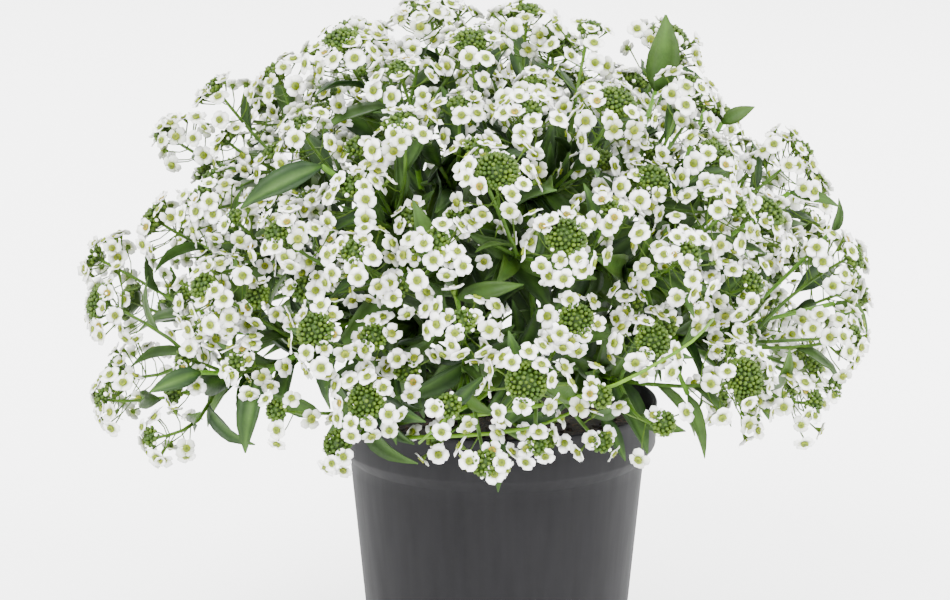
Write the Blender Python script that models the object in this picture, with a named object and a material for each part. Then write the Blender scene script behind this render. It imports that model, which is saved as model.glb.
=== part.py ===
"""Sweet alyssum in full flower, in its round nursery pot.

The plant is a low dome of small white flower heads. Green leafy stems stand in holes in the soil,
lean out over the rim and branch. Each branch ends just under a forked white spray, which carries two
or three flower heads, and its leaves reach out between the heads.

Sizes are in metres and angles in degrees. The front of the plant faces -Y.
"""

import math
import random
from collections import namedtuple
from itertools import combinations, product

import bmesh
import bpy
import numpy as np
from mathutils import Matrix, Vector

# The pot: radius and height of each turn of its outline
POT_HEIGHT = 0.090
POT_BASE_RADIUS = 0.0395
POT_WALL_TOP_RADIUS = 0.0462
POT_BAND_LOW = 0.0765
POT_BAND_RADIUS = 0.0500
POT_RIM_RADIUS = 0.0504
POT_CHAMFER_LOW = 0.0725
POT_WALL = 0.0015
POT_FOOT_EDGE = 0.0008
POT_LIP_ROUND = 0.0006
POT_SIDES = 26

# The soil
SOIL_EDGE_HEIGHT = 0.0830
SOIL_CROWN_HEIGHT = 0.0855
SOIL_SIDES = 16
SOIL_MIDDLE_RING = 0.66
SOIL_LUMP = 0.0009
SOIL_SEED = 5
HOLE_RADIUS = 0.0023
HOLE_DEPTH = 0.0080
HOLE_SIDES = 5
FIT_GAP = 0.0003

# The dome of flower heads, measured from the middle of the plant
HEART = Vector((-0.004, 0.0, 0.097))
FACING_DROP = 0.022
ROOM = 1.02
ROOM_GAP = 0.0007
SETTLE_ROUNDS = 80
REACH_AT_MOST = 0.1280

# Flower heads: bearing from the front towards the right, lift above level, reach, radius
Head = namedtuple("Head", "bearing lift reach radius")
LEFT_EDGE_HEADS = [
    Head(-88, 18, 0.128, 0.0110),
    Head(-73, 15, 0.127, 0.0130),
    Head(-65, 3, 0.127, 0.0110),
    Head(-54, 0, 0.122, 0.0095),
    Head(-80, 28, 0.117, 0.0120),
    Head(-93, 38, 0.127, 0.0120),
    Head(-64, 35, 0.116, 0.0120),
]
LEFT_SHOULDER_HEADS = [
    Head(-85, 49, 0.125, 0.0120),
    Head(-73, 57, 0.121, 0.0110),
    Head(-47, 50, 0.117, 0.0115),
]
LEFT_FRONT_HEADS = [
    Head(-47, 21, 0.118, 0.0135),
    Head(-35, 33, 0.118, 0.0125),
    Head(-43, 14, 0.110, 0.0100),
    Head(-34, 7, 0.108, 0.0100),
    Head(-27, 2, 0.100, 0.0095),
    Head(-25, 19, 0.117, 0.0120),
]
CROWN_HEADS = [
    Head(-56, 66, 0.122, 0.0130),
    Head(-50, 75, 0.122, 0.0110),
    Head(-27, 64, 0.117, 0.0110),
    Head(-12, 60, 0.113, 0.0100),
    Head(-2, 71, 0.117, 0.0120),
    Head(35, 77, 0.121, 0.0120),
    Head(42, 67, 0.121, 0.0120),
    Head(14, 65, 0.113, 0.0105),
    Head(46, 59, 0.115, 0.0110),
]
UPPER_FRONT_HEADS = [
    Head(-26, 44, 0.114, 0.0110),
    Head(-21, 50, 0.117, 0.0115),
    Head(4, 43, 0.118, 0.0140),
    Head(10, 52, 0.117, 0.0125),
    Head(33, 53, 0.118, 0.0130),
    Head(37, 44, 0.113, 0.0110),
]
MIDDLE_FRONT_HEADS = [
    Head(-21, 32, 0.116, 0.0120),
    Head(-6, 32, 0.116, 0.0115),
    Head(-3, 22, 0.114, 0.0120),
    Head(14, 34, 0.118, 0.0130),
    Head(25, 36, 0.114, 0.0110),
    Head(30, 28, 0.118, 0.0140),
]
LOW_FRONT_HEADS = [
    Head(-16, 11, 0.112, 0.0120),
    Head(-6, 13, 0.112, 0.0110),
    Head(5, 17, 0.116, 0.0130),
    Head(13, 21, 0.113, 0.0110),
    Head(18, 13, 0.112, 0.0110),
    Head(27, 9, 0.110, 0.0120),
    Head(28, 20, 0.114, 0.0115),
]
RIGHT_HEADS = [
    Head(54, 52, 0.118, 0.0105),
    Head(52, 44, 0.118, 0.0110),
    Head(47, 37, 0.118, 0.0125),
    Head(60, 34, 0.118, 0.0120),
    Head(69, 37, 0.126, 0.0125),
    Head(71, 22, 0.127, 0.0145),
    Head(50, 27, 0.114, 0.0120),
    Head(40, 10, 0.117, 0.0145),
    Head(61, 12, 0.127, 0.0120),
    Head(53, 6, 0.122, 0.0120),
]
RIM_HEADS = [
    Head(-12, -1, 0.071, 0.0078),
    Head(16, -2, 0.069, 0.0080),
]

# Heads on the far side, spread by the golden angle
BACK_POINTS = 84
BACK_LOW_LIFT = 0
BACK_HIGH_LIFT = 84
BACK_BEARING = 84
BACK_REACH = 0.116
BACK_REACH_VARIES = 0.007
BACK_RADII = (0.0120, 0.0145)
BACK_ROOM = -0.001
BACK_SEED = 11
GOLDEN_ANGLE = 137.508

# Shape of one flower head, as parts of its radius
SMALL_HEAD = 0.0134
FLORETS_ON_SMALL = 5
FLORETS_ON_LARGE = 6
CORE_TOP = 0.40
CORE_LOW = 0.30
CORE_DEPTH = 0.32
EYE_RING = 0.70
EYE_HEIGHT = -0.02
FLORET_TILT = 50
EYE_CORNER = 0.185
PETAL_INWARD = 0.36
PETAL_OUTWARD = 0.46
PETAL_SIDE = {FLORETS_ON_SMALL: 0.46, FLORETS_ON_LARGE: 0.385}
BUD_RING = 0.37
BUD_RING_HEIGHT = 0.25
BUD_TOP = 0.42
HEAD_FOOT = 0.60
HEAD_FOOT_RADIUS = 0.085

# Stalks, branches and stems
PAIR_SPREAD = 0.036
FORK_BELOW_HEADS = 0.036
FORK_LOWEST = 0.099
FORK_ROOM = 0.0085
NECK = 0.004
STALK_RADIUS = 0.0010
STALK_END_RADIUS = 0.0004
STALK_BOW = 0.45
STEM_COUNT = 8
STEM_ROOT_RADIUS = 0.016
STEM_FOOT_RADIUS = 0.0014
STEM_RADIUS = 0.0012
BRANCH_RADIUS = 0.0011
BRANCH_START_RADIUS = 0.0005
BRANCH_LOWEST = 0.05
BRANCH_HIGHEST = 0.75
BRANCH_BOW = 0.07
STEM_DEPTH = 0.006
STEM_LEAN = 0.002
STEM_RISE = 0.010
STEM_UPRIGHT = 0.0015
STEM_BOW = 0.12
TUBE_STUB = 0.0002

# Who holds a point in the room that leaves grow into, beside the numbered stems
OWNER_SPRAY = -1
OWNER_LEAF = -2
OWNER_TWIG = -3
BRANCHES_AT_MOST = 100
ROOM_STEP = 0.002
HEAD_GUARD = 0.70
FLORET_GUARD = 0.36
FLORET_GUARD_DROP = 0.20
FLORET_GUARDS = 8

# Leaves
LEAF_THICKNESS = 0.0008
LEAF_LENGTHS = (0.019, 0.027)
LEAF_WIDTH_SHARE = (0.23, 0.30)
LEAF_SPOTS = (0.62, 0.93)
LEAF_LEANS = (30, 55)
LEAF_ROLLS = 12
LEAF_ARCH = 0.10
LEAF_OUTLINE = ((0.35, 0.48), (0.72, 0.42))
LEAF_ROOT = 0.00045
LEAF_JOINED = 0.12
LEAF_SAMPLES = 11
LEAF_CLEARANCE = 0.0012
LEAF_ENOUGH = 0.0030
POT_CLEARANCE = 0.0020
LEAF_SEED = 23

# Leaves that stand out by themselves: root, tip and width
Blade = namedtuple("Blade", "root tip width")
LONE_LEAVES = [
    Blade((0.048, -0.014, 0.190), (0.051, -0.014, 0.2135), 0.0086),
    Blade((0.068, -0.018, 0.181), (0.078, -0.018, 0.186), 0.0040),
    Blade((0.064, -0.010, 0.185), (0.055, -0.010, 0.198), 0.0036),
    Blade((0.109, -0.030, 0.153), (0.111, -0.032, 0.164), 0.0032),
    Blade((0.102, -0.034, 0.131), (0.112, -0.036, 0.122), 0.0072),
    Blade((0.090, -0.038, 0.163), (0.105, -0.040, 0.159), 0.0036),
    Blade((-0.070, -0.080, 0.118), (-0.074, -0.086, 0.097), 0.0060),
    Blade((-0.088, -0.062, 0.114), (-0.103, -0.066, 0.109), 0.0050),
    Blade((0.055, -0.080, 0.112), (0.060, -0.085, 0.094), 0.0034),
    Blade((0.000, -0.058, 0.0965), (0.000, -0.0615, 0.077), 0.0038),
    Blade((0.031, -0.054, 0.0985), (0.038, -0.059, 0.086), 0.0038),
    Blade((-0.049, -0.062, 0.176), (-0.073, -0.064, 0.164), 0.0066),
    Blade((-0.012, -0.086, 0.142), (0.007, -0.090, 0.147), 0.0048),
]
LONE_SHIFT = 0.0025
LONE_SHIFTS_EACH_WAY = 3
TWIG_RADIUS = 0.0008
TWIG_SINK = 0.0015
TWIG_LONGEST = 0.050

POT_COLOUR = (0.072, 0.070, 0.076, 1.0)
SOIL_COLOUR = (0.028, 0.018, 0.012, 1.0)
LEAF_COLOUR = (0.065, 0.170, 0.040, 1.0)
FLOWER_COLOUR = (0.860, 0.870, 0.820, 1.0)
UP = Vector((0.0, 0.0, 1.0))
MERGE_DISTANCE = 0.00001


def clear_scene():
    """Removes everything that the scene holds."""
    for thing in list(bpy.data.objects):
        bpy.data.objects.remove(thing)


def make_material(name, colour, roughness):
    """A plain Principled material with its colour and roughness."""
    material = bpy.data.materials.new(name)
    material.use_nodes = True
    shader = material.node_tree.nodes["Principled BSDF"]
    shader.inputs["Base Color"].default_value = colour
    shader.inputs["Roughness"].default_value = roughness
    shader.inputs["Metallic"].default_value = 0.0
    return material


def to_mesh(name, bm):
    """Turns a finished bmesh into a mesh whose faces point outwards."""
    bmesh.ops.recalc_face_normals(bm, faces=bm.faces)
    mesh = bpy.data.meshes.new(name)
    bm.to_mesh(mesh)
    bm.free()
    return mesh


def add_object(name, mesh, material):
    """Adds a mesh to the scene as one named piece."""
    piece = bpy.data.objects.new(name, mesh)
    mesh.materials.clear()
    mesh.materials.append(material)
    bpy.context.scene.collection.objects.link(piece)
    return piece


def turn_diagonal(bm, edge, pair):
    """Splits two flat neighbour triangles along their other diagonal, if that leaves both sound."""
    loop = next(loop for loop in pair[0].loops if loop.edge is edge)
    start, end = loop.vert, edge.other_vert(loop.vert)
    far = [next(vert for vert in face.verts if vert not in edge.verts) for face in pair]
    corners = ((start, far[1], far[0]), (far[1], end, far[0]))
    for a, b, c in corners:
        if (b.co - a.co).cross(c.co - a.co).dot(pair[0].normal) <= 0:
            return False
    for face in pair:
        bm.faces.remove(face)
    for corner in corners:
        bm.faces.new(corner)
    return True


def untangle(bm):
    """Where two flat faces were split along one and the same line, splits one of them the other way."""
    bm.normal_update()
    for edge in [edge for edge in bm.edges if len(edge.link_faces) == 4]:
        first = edge.link_faces[0]
        mate = max(edge.link_faces[1:], key=lambda face: face.normal.dot(first.normal))
        rest = [face for face in edge.link_faces if face not in (first, mate)]
        if not turn_diagonal(bm, edge, [first, mate]):
            turn_diagonal(bm, edge, rest)


def combine(host, pieces, operation):
    """Applies one Boolean of the host with a collection of closed meshes."""
    others = bpy.data.collections.new(host.name + "_pieces")
    bpy.context.scene.collection.children.link(others)
    for mesh in pieces:
        others.objects.link(bpy.data.objects.new("piece", mesh))
    joiner = host.modifiers.new("Join", "BOOLEAN")
    joiner.operation = operation
    joiner.operand_type = "COLLECTION"
    joiner.collection = others
    joiner.solver = "EXACT"
    view = bpy.context.evaluated_depsgraph_get()
    result = bpy.data.meshes.new_from_object(host.evaluated_get(view))
    host.modifiers.clear()
    material = host.data.materials[0]
    bm = bmesh.new()
    bm.from_mesh(result)
    bmesh.ops.triangulate(bm, faces=bm.faces)
    untangle(bm)
    bm.to_mesh(result)
    bm.free()
    host.data = result
    result.materials.clear()
    result.materials.append(material)
    for piece in list(others.objects):
        bpy.data.objects.remove(piece)
    bpy.data.collections.remove(others)


def turned(outline, sides):
    """A solid of revolution from an outline that starts and ends on the axis."""
    bm = bmesh.new()
    points = [bm.verts.new((radius, 0.0, height)) for radius, height in outline]
    edges = [bm.edges.new(pair) for pair in zip(points, points[1:])]
    bmesh.ops.spin(bm, geom=points + edges, cent=(0, 0, 0), axis=UP, angle=math.tau, steps=sides, use_merge=True)
    bmesh.ops.remove_doubles(bm, verts=bm.verts, dist=MERGE_DISTANCE)
    return bm


def build_pot(material):
    """The pot: a tapered wall, a chamfer, an upright band and a rounded lip, open at the top."""
    inner_top = POT_RIM_RADIUS - POT_WALL
    outline = [
        (0.0, 0.0),
        (POT_BASE_RADIUS - POT_FOOT_EDGE, 0.0),
        (POT_BASE_RADIUS, POT_FOOT_EDGE),
        (POT_WALL_TOP_RADIUS, POT_CHAMFER_LOW),
        (POT_BAND_RADIUS, POT_BAND_LOW),
        (POT_RIM_RADIUS, POT_HEIGHT - POT_LIP_ROUND),
        (POT_RIM_RADIUS - POT_LIP_ROUND, POT_HEIGHT),
        (inner_top, POT_HEIGHT),
        (POT_BAND_RADIUS - POT_WALL, POT_BAND_LOW + POT_WALL / 2),
        (POT_WALL_TOP_RADIUS - POT_WALL, POT_CHAMFER_LOW + POT_WALL / 2),
        (POT_BASE_RADIUS - POT_WALL, POT_WALL),
        (0.0, POT_WALL),
    ]
    return add_object("pot", to_mesh("pot", turned(outline, POT_SIDES)), material)


def stem_root(stem):
    """The place on the ring of stems where one stem leaves the soil."""
    turn = math.tau * stem / STEM_COUNT
    return Vector((STEM_ROOT_RADIUS * math.sin(turn), -STEM_ROOT_RADIUS * math.cos(turn), SOIL_CROWN_HEIGHT))


def build_soil(material):
    """The soil that fills the pot, slightly lumpy on top, with a plain hole for each stem."""
    flat = math.cos(math.pi / POT_SIDES)
    inner_low = (POT_BASE_RADIUS - POT_WALL) * flat - FIT_GAP
    inner_wall = (POT_WALL_TOP_RADIUS - POT_WALL) * flat - FIT_GAP
    inner_band = (POT_BAND_RADIUS - POT_WALL) * flat - FIT_GAP
    outline = [
        (0.0, POT_WALL + FIT_GAP),
        (inner_low, POT_WALL + FIT_GAP),
        (inner_wall, POT_CHAMFER_LOW + POT_WALL / 2 + FIT_GAP),
        (inner_band, POT_BAND_LOW + POT_WALL / 2 + FIT_GAP),
        (inner_band, SOIL_EDGE_HEIGHT),
        (inner_band * SOIL_MIDDLE_RING, (SOIL_EDGE_HEIGHT + SOIL_CROWN_HEIGHT) / 2),
        (0.0, SOIL_CROWN_HEIGHT),
    ]
    bm = turned(outline, SOIL_SIDES)
    lumps = random.Random(SOIL_SEED)
    for vert in bm.verts:
        if vert.co.z >= SOIL_EDGE_HEIGHT - FIT_GAP:
            vert.co.z += lumps.uniform(-SOIL_LUMP, SOIL_LUMP)
    soil = add_object("soil", to_mesh("soil", bm), material)
    holes = []
    for stem in range(STEM_COUNT):
        cutter = bmesh.new()
        bmesh.ops.create_cone(
            cutter, cap_ends=True, segments=HOLE_SIDES, radius1=HOLE_RADIUS, radius2=HOLE_RADIUS, depth=HOLE_DEPTH * 2
        )
        bmesh.ops.translate(cutter, verts=cutter.verts, vec=stem_root(stem))
        holes.append(to_mesh("hole", cutter))
    combine(soil, holes, "DIFFERENCE")
    return soil


def place(bearing, lift, reach):
    """A point seen from the middle of the plant."""
    turn = math.radians(bearing)
    rise = math.radians(lift)
    level = reach * math.cos(rise)
    return HEART + Vector((level * math.sin(turn), -level * math.cos(turn), reach * math.sin(rise)))


def bearing_of(point):
    """Bearing of a point from the front of the pot, from 0 to 360."""
    return math.degrees(math.atan2(point.x, -point.y)) % 360


def front_heads():
    """All the heads whose places are chosen one by one."""
    groups = (
        LEFT_EDGE_HEADS, LEFT_SHOULDER_HEADS, LEFT_FRONT_HEADS, CROWN_HEADS, UPPER_FRONT_HEADS,
        MIDDLE_FRONT_HEADS, LOW_FRONT_HEADS, RIGHT_HEADS, RIM_HEADS,
    )
    return [head for group in groups for head in group]


def back_heads(front):
    """Heads that cover the far side evenly, wherever one has room."""
    draw = random.Random(BACK_SEED)
    low = math.sin(math.radians(BACK_LOW_LIFT))
    high = math.sin(math.radians(BACK_HIGH_LIFT))
    heads = []
    for k in range(BACK_POINTS):
        lift = math.degrees(math.asin(low + (high - low) * (k + 0.5) / BACK_POINTS))
        bearing = (k * GOLDEN_ANGLE) % 360
        reach = BACK_REACH + draw.uniform(-BACK_REACH_VARIES, BACK_REACH_VARIES)
        head = Head(bearing, lift, reach, draw.uniform(*BACK_RADII))
        if not BACK_BEARING < bearing < 360 - BACK_BEARING:
            continue
        spot = place(head.bearing, head.lift, head.reach)
        near = (other for other in front + heads
                if (place(other.bearing, other.lift, other.reach) - spot).length
                < other.radius + head.radius + BACK_ROOM)
        if not any(near):
            heads.append(head)
    return heads


def settle(heads):
    """Pushes heads apart until each has room for its florets, and returns their middles."""
    spots = [place(head.bearing, head.lift, head.reach) for head in heads]
    for _ in range(SETTLE_ROUNDS):
        for i, j in combinations(range(len(heads)), 2):
            apart = spots[j] - spots[i]
            short = (heads[i].radius + heads[j].radius) * ROOM + ROOM_GAP - apart.length
            if short > 0:
                push = apart.normalized() * short / 2
                spots[i] -= push
                spots[j] += push
        for k, spot in enumerate(spots):
            if (spot - HEART).length > REACH_AT_MOST:
                spots[k] = HEART + (spot - HEART).normalized() * REACH_AT_MOST
    return spots


def facing(spot):
    """The way a head looks: out from a point below the middle of the plant."""
    return (spot - HEART + UP * FACING_DROP).normalized()


def share_out(spots):
    """Groups heads into sprays of two neighbours. A head left over joins the nearest spray."""
    def apart(i, j):
        return (spots[i] - spots[j]).length

    free = set(range(len(spots)))
    sprays = []
    for i, j in sorted(combinations(range(len(spots)), 2), key=lambda pair: apart(*pair)):
        if i in free and j in free and apart(i, j) < PAIR_SPREAD:
            sprays.append([i, j])
            free -= {i, j}
    for single in sorted(free):
        pairs = [spray for spray in sprays if len(spray) == 2]
        min(pairs, key=lambda spray: min(apart(single, other) for other in spray)).append(single)
    return sprays


def find_forks(sprays, spots):
    """The place under each spray's heads where its stalks meet, clear of the other forks."""
    forks = []
    for spray in sprays:
        middle = sum((spots[i] for i in spray), Vector()) / len(spray)
        shortest = min((spots[i] - HEART).length for i in spray)
        fork = HEART + (middle - HEART).normalized() * (shortest - FORK_BELOW_HEADS)
        forks.append(Vector((fork.x, fork.y, max(fork.z, FORK_LOWEST))))
    for _ in range(SETTLE_ROUNDS):
        for i, j in combinations(range(len(forks)), 2):
            apart = forks[j] - forks[i]
            push = apart.normalized() * max(0.0, FORK_ROOM - apart.length) / 2
            forks[i] = forks[i] - push
            forks[j] = forks[j] + push
    return forks


def open_floret(bm, side, petal_side):
    """Extrudes one side of a head's core into a flared floret with four petals."""
    middle = side.calc_center_median()
    outward = Vector((middle.x, middle.y, 0.0)).normalized()
    tilt = math.radians(FLORET_TILT)
    front = outward * math.sin(tilt) + UP * math.cos(tilt)
    across = UP.cross(outward)
    inward = front.cross(across)
    centre = outward * EYE_RING + UP * EYE_HEIGHT
    eye = bmesh.ops.extrude_discrete_faces(bm, faces=[side])["faces"][0]
    corners = list(eye.verts)
    for corner in corners:
        offset = corner.co - middle
        sideways = across * math.copysign(EYE_CORNER, offset.dot(across))
        corner.co = centre + sideways + inward * math.copysign(EYE_CORNER, offset.dot(inward))
    for edge in list(eye.edges):
        skirt = next(face for face in edge.link_faces if face is not eye)
        roots = [vert for vert in skirt.verts if vert not in corners]
        way = ((edge.verts[0].co + edge.verts[1].co) / 2 - centre).normalized()
        length = petal_side
        if abs(way.dot(inward)) > abs(way.dot(across)):
            length = PETAL_INWARD if way.dot(inward) > 0 else PETAL_OUTWARD
        tip = bmesh.utils.edge_split(edge, edge.verts[0], 0.5)[1]
        tip.co = centre + way * length
        bmesh.ops.connect_verts(bm, verts=[tip, *roots])
    bmesh.ops.connect_verts(bm, verts=corners)


def head_template(florets):
    """One flower head of unit radius: a ring of florets round a dome of buds, on a tapered foot.

    Returns its mesh and the number of the face that the stalk grows from.
    """
    bm = bmesh.new()
    bmesh.ops.create_cone(
        bm, cap_ends=True, segments=florets, radius1=CORE_LOW, radius2=CORE_TOP, depth=CORE_DEPTH
    )
    bmesh.ops.translate(bm, verts=bm.verts, vec=(0, 0, -CORE_DEPTH / 2))
    caps = [face for face in bm.faces if len(face.verts) == florets]
    under, top = sorted(caps, key=lambda face: face.calc_center_median().z)
    for side in [face for face in bm.faces if face not in caps]:
        open_floret(bm, side, PETAL_SIDE[florets])
    ring = bmesh.ops.extrude_discrete_faces(bm, faces=[top])["faces"][0]
    for vert in ring.verts:
        vert.co = Vector((vert.co.x, vert.co.y, 0.0)).normalized() * BUD_RING + UP * BUD_RING_HEIGHT
    bmesh.ops.poke(bm, faces=[ring], offset=BUD_TOP - BUD_RING_HEIGHT)
    foot = bmesh.ops.extrude_discrete_faces(bm, faces=[under])["faces"][0]
    corners = list(foot.verts)
    for group in (corners[0:2], corners[2:4], corners[4:]):
        level = sum((vert.co for vert in group), Vector())
        level.z = 0.0
        spot = level.normalized() * HEAD_FOOT_RADIUS - UP * HEAD_FOOT
        bmesh.ops.pointmerge(bm, verts=group, merge_co=spot)
    heights = [face.calc_center_median().z for face in bm.faces]
    return to_mesh("head", bm), heights.index(min(heights))


def tangents(points, last):
    """Direction of a path at each point after the first, with the last one given."""
    ways = []
    for before, here, after in zip(points, points[1:], points[2:]):
        ways.append(((here - before).normalized() + (after - here).normalized()).normalized())
    return ways + [last]


def grow(bm, face, points, radii, last):
    """Extrudes a face along a path, turning its corners smoothly with the path."""
    bm.normal_update()
    centre = face.calc_center_median()
    axis = face.normal.copy()
    spokes = [(vert.co - centre).normalized() for vert in face.verts]
    for point, radius, way in zip(points, radii, tangents([centre, *points], last)):
        turn = axis.rotation_difference(way)
        spokes = [turn @ spoke for spoke in spokes]
        axis = way
        face = bmesh.ops.extrude_discrete_faces(bm, faces=[face])["faces"][0]
        for vert, spoke in zip(face.verts, spokes):
            vert.co = point + spoke * radius
    return face


def tube(name, points, radii, last=None):
    """A closed three-sided tube along a path, slimmer or thicker as its radii say."""
    bm = bmesh.new()
    start = (points[1] - points[0]).normalized()
    bmesh.ops.create_cone(bm, cap_ends=True, segments=3, radius1=radii[0], radius2=radii[0], depth=TUBE_STUB)
    stand = UP.rotation_difference(start).to_matrix().to_4x4()
    bmesh.ops.transform(bm, verts=bm.verts, matrix=Matrix.Translation(points[0]) @ stand)
    caps = [face for face in bm.faces if len(face.verts) == 3]
    end = max(caps, key=lambda face: (face.calc_center_median() - points[0]).dot(start))
    grow(bm, end, points[1:], radii[1:], last or (points[-1] - points[-2]).normalized())
    return to_mesh(name, bm)


def curve_points(start, control, end, count):
    """Points along a bent line from start to end, pulled towards a control point."""
    points = []
    for k in range(count + 1):
        t = k / count
        points.append(start * (1 - t) ** 2 + control * 2 * t * (1 - t) + end * t ** 2)
    return points


def stalk(template, foot_number, spot, radius, roll, points, radii, last):
    """One flower head set in its place, with its stalk grown down along a path."""
    bm = bmesh.new()
    bm.from_mesh(template)
    stand = UP.rotation_difference(facing(spot)).to_matrix().to_4x4()
    bm.transform(Matrix.Translation(spot) @ stand @ Matrix.Rotation(roll, 4, UP) @ Matrix.Scale(radius, 4))
    bm.faces.ensure_lookup_table()
    grow(bm, bm.faces[foot_number], points, radii, last)
    return to_mesh("stalk", bm)


def head_foot(spot, radius):
    """The place under a head where its stalk begins."""
    return spot - facing(spot) * radius * HEAD_FOOT


def spray_paths(spray, heads, spots, fork, way):
    """The path of each stalk of a spray, from under its head to the neck below the fork."""
    joint = fork + way * NECK
    paths = []
    for i in spray:
        foot = head_foot(spots[i], heads[i].radius)
        control = foot - facing(spots[i]) * (foot - joint).length * STALK_BOW
        bend = curve_points(foot, control, joint, 2)[1]
        paths.append([bend, joint])
    paths[0].append(fork)
    return paths


def build_spray(number, spray, heads, spots, paths, way, templates, material):
    """A forked stalk with its flower heads, in one piece."""
    pieces = []
    for i, path in zip(spray, paths):
        is_small = heads[i].radius < SMALL_HEAD
        template, foot_number = templates[FLORETS_ON_SMALL if is_small else FLORETS_ON_LARGE]
        is_main = len(path) == 3
        radii = [STALK_RADIUS] * 3 if is_main else [STALK_RADIUS, STALK_END_RADIUS]
        last = -way if is_main else (path[1] - path[0]).normalized()
        roll = i * math.radians(GOLDEN_ANGLE)
        pieces.append(stalk(template, foot_number, spots[i], heads[i].radius, roll, path, radii, last))
    piece = add_object(f"spray_{number:02d}", pieces[0], material)
    combine(piece, pieces[1:], "UNION")
    return piece


def stem_paths(number, forks):
    """The paths of one leafy stem: first the stem itself to its highest fork, then each branch."""
    root = stem_root(number)
    rise = root + Vector((root.x, root.y, 0.0)).normalized() * STEM_LEAN + UP * STEM_RISE
    highest = forks[-1]
    control = (rise + highest) / 2 + UP * (highest - rise).length * STEM_BOW
    paths = [[root - UP * STEM_DEPTH, root + UP * STEM_UPRIGHT, *curve_points(rise, control, highest, 3)]]
    for k, fork in enumerate(forks[:-1]):
        t = BRANCH_LOWEST + (BRANCH_HIGHEST - BRANCH_LOWEST) * k / max(1, len(forks) - 2)
        start = rise * (1 - t) ** 2 + control * 2 * t * (1 - t) + highest * t ** 2
        middle = (start + fork) / 2 + UP * (fork - start).length * BRANCH_BOW
        paths.append([start, middle, fork])
    return paths


def loft(name, rings, tip):
    """A closed skin through rings of points, which ends in a point."""
    bm = bmesh.new()
    bmesh.ops.create_cone(bm, cap_ends=True, segments=len(rings[0]), radius1=1, radius2=1, depth=1)
    end = max(bm.faces, key=lambda face: face.calc_center_median().z)
    for vert, low, high in zip(end.verts, rings[0], rings[1]):
        mate = next(edge.other_vert(vert) for edge in vert.link_edges if edge.other_vert(vert).co.z < 0)
        mate.co = low
        vert.co = high
    for ring in rings[2:]:
        end = bmesh.ops.extrude_discrete_faces(bm, faces=[end])["faces"][0]
        for vert, point in zip(end.verts, ring):
            vert.co = point
    bmesh.ops.poke(bm, faces=[end])["verts"][0].co = tip
    return to_mesh(name, bm)


def leaf_frame(root, tip, normal):
    """Directions across and out of a leaf's face."""
    along = (tip - root).normalized()
    across = along.cross(normal).normalized()
    return across, across.cross(along).normalized()


def leaf_ring_points(root, tip, width, normal, share, half):
    """The middle of a leaf at a share of its length, with its two edges."""
    across, out = leaf_frame(root, tip, normal)
    top = (root + tip) / 2 + out * (tip - root).length * LEAF_ARCH * 2
    middle = root * (1 - share) ** 2 + top * 2 * share * (1 - share) + tip * share ** 2
    return [middle, middle + across * width * half, middle - across * width * half]


def blade(root, tip, width, normal):
    """An arched leaf with a ridge along its middle and thin edges."""
    across, out = leaf_frame(root, tip, normal)
    rings = [[root + across * LEAF_ROOT, root + out * LEAF_ROOT, root - across * LEAF_ROOT - out * LEAF_ROOT / 4]]
    for share, half in LEAF_OUTLINE:
        middle, left, right = leaf_ring_points(root, tip, width, normal, share, half)
        rings.append([left, middle + out * LEAF_THICKNESS, right])
    return loft("leaf", rings, tip)


class Room:
    """Keeps what is already in the plant, so that each leaf can grow where there is room."""

    def __init__(self):
        self.points = np.zeros((0, 3))
        self.radii = np.zeros(0)
        self.owners = np.zeros(0, dtype=int)

    def add(self, points, radius, owner):
        """Takes in a run of points with one radius."""
        self.points = np.vstack([self.points, np.array([tuple(point) for point in points])])
        self.radii = np.append(self.radii, np.full(len(points), radius))
        self.owners = np.append(self.owners, np.full(len(points), owner))

    def around(self, middle, reach):
        """The same room, but only as far as a reach from one point."""
        near = np.linalg.norm(self.points - np.array(tuple(middle)), axis=1) < reach
        part = Room()
        part.points = self.points[near]
        part.radii = self.radii[near]
        part.owners = self.owners[near]
        return part

    def free(self, points, owner):
        """The least gap from some points to anything that the owner doesn't hold."""
        others = np.full(len(self.owners), True) if owner is None else self.owners != owner
        away = np.array([tuple(point) for point in points])[:, None, :] - self.points[None, others, :]
        return float((np.linalg.norm(away, axis=2) - self.radii[None, others]).min(initial=1.0))


def along_path(points, step):
    """Points along a bent path, one step apart."""
    run = []
    for start, end in zip(points, points[1:]):
        count = max(1, math.ceil((end - start).length / step))
        run += [start.lerp(end, k / count) for k in range(count)]
    return run + [points[-1]]


def leaf_points(root, tip, width, normal):
    """Points all over a leaf, past the bit that is joined to its branch."""
    points = []
    for k in range(LEAF_SAMPLES):
        share = LEAF_JOINED + (1 - LEAF_JOINED) * k / LEAF_SAMPLES
        points += leaf_ring_points(root, tip, width, normal, share, LEAF_OUTLINE[0][1])
    return points + [tip]


def branch_number(stem, branch):
    """One number for each branch of each stem."""
    return stem * BRANCHES_AT_MOST + branch


def fill_room(heads, spots, sprays, stalks, stems):
    """Takes in every flower head, stalk and branch."""
    room = Room()
    for head, spot in zip(heads, spots):
        turn = UP.rotation_difference(facing(spot))
        ring = []
        for k in range(FLORET_GUARDS):
            angle = math.tau * k / FLORET_GUARDS
            spoke = Vector((math.cos(angle), math.sin(angle), -FLORET_GUARD_DROP))
            ring.append(spot + turn @ spoke * head.radius * EYE_RING)
        room.add([spot], head.radius * HEAD_GUARD, OWNER_SPRAY)
        room.add(ring, head.radius * FLORET_GUARD, OWNER_SPRAY)
    for spray, paths in zip(sprays, stalks):
        for i, path in zip(spray, paths):
            foot = head_foot(spots[i], heads[i].radius)
            room.add(along_path([foot, *path], ROOM_STEP), STALK_RADIUS, OWNER_SPRAY)
    for number, paths in enumerate(stems):
        for k, path in enumerate(paths):
            room.add(along_path(path, ROOM_STEP), BRANCH_RADIUS, branch_number(number, k))
    return room


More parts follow.
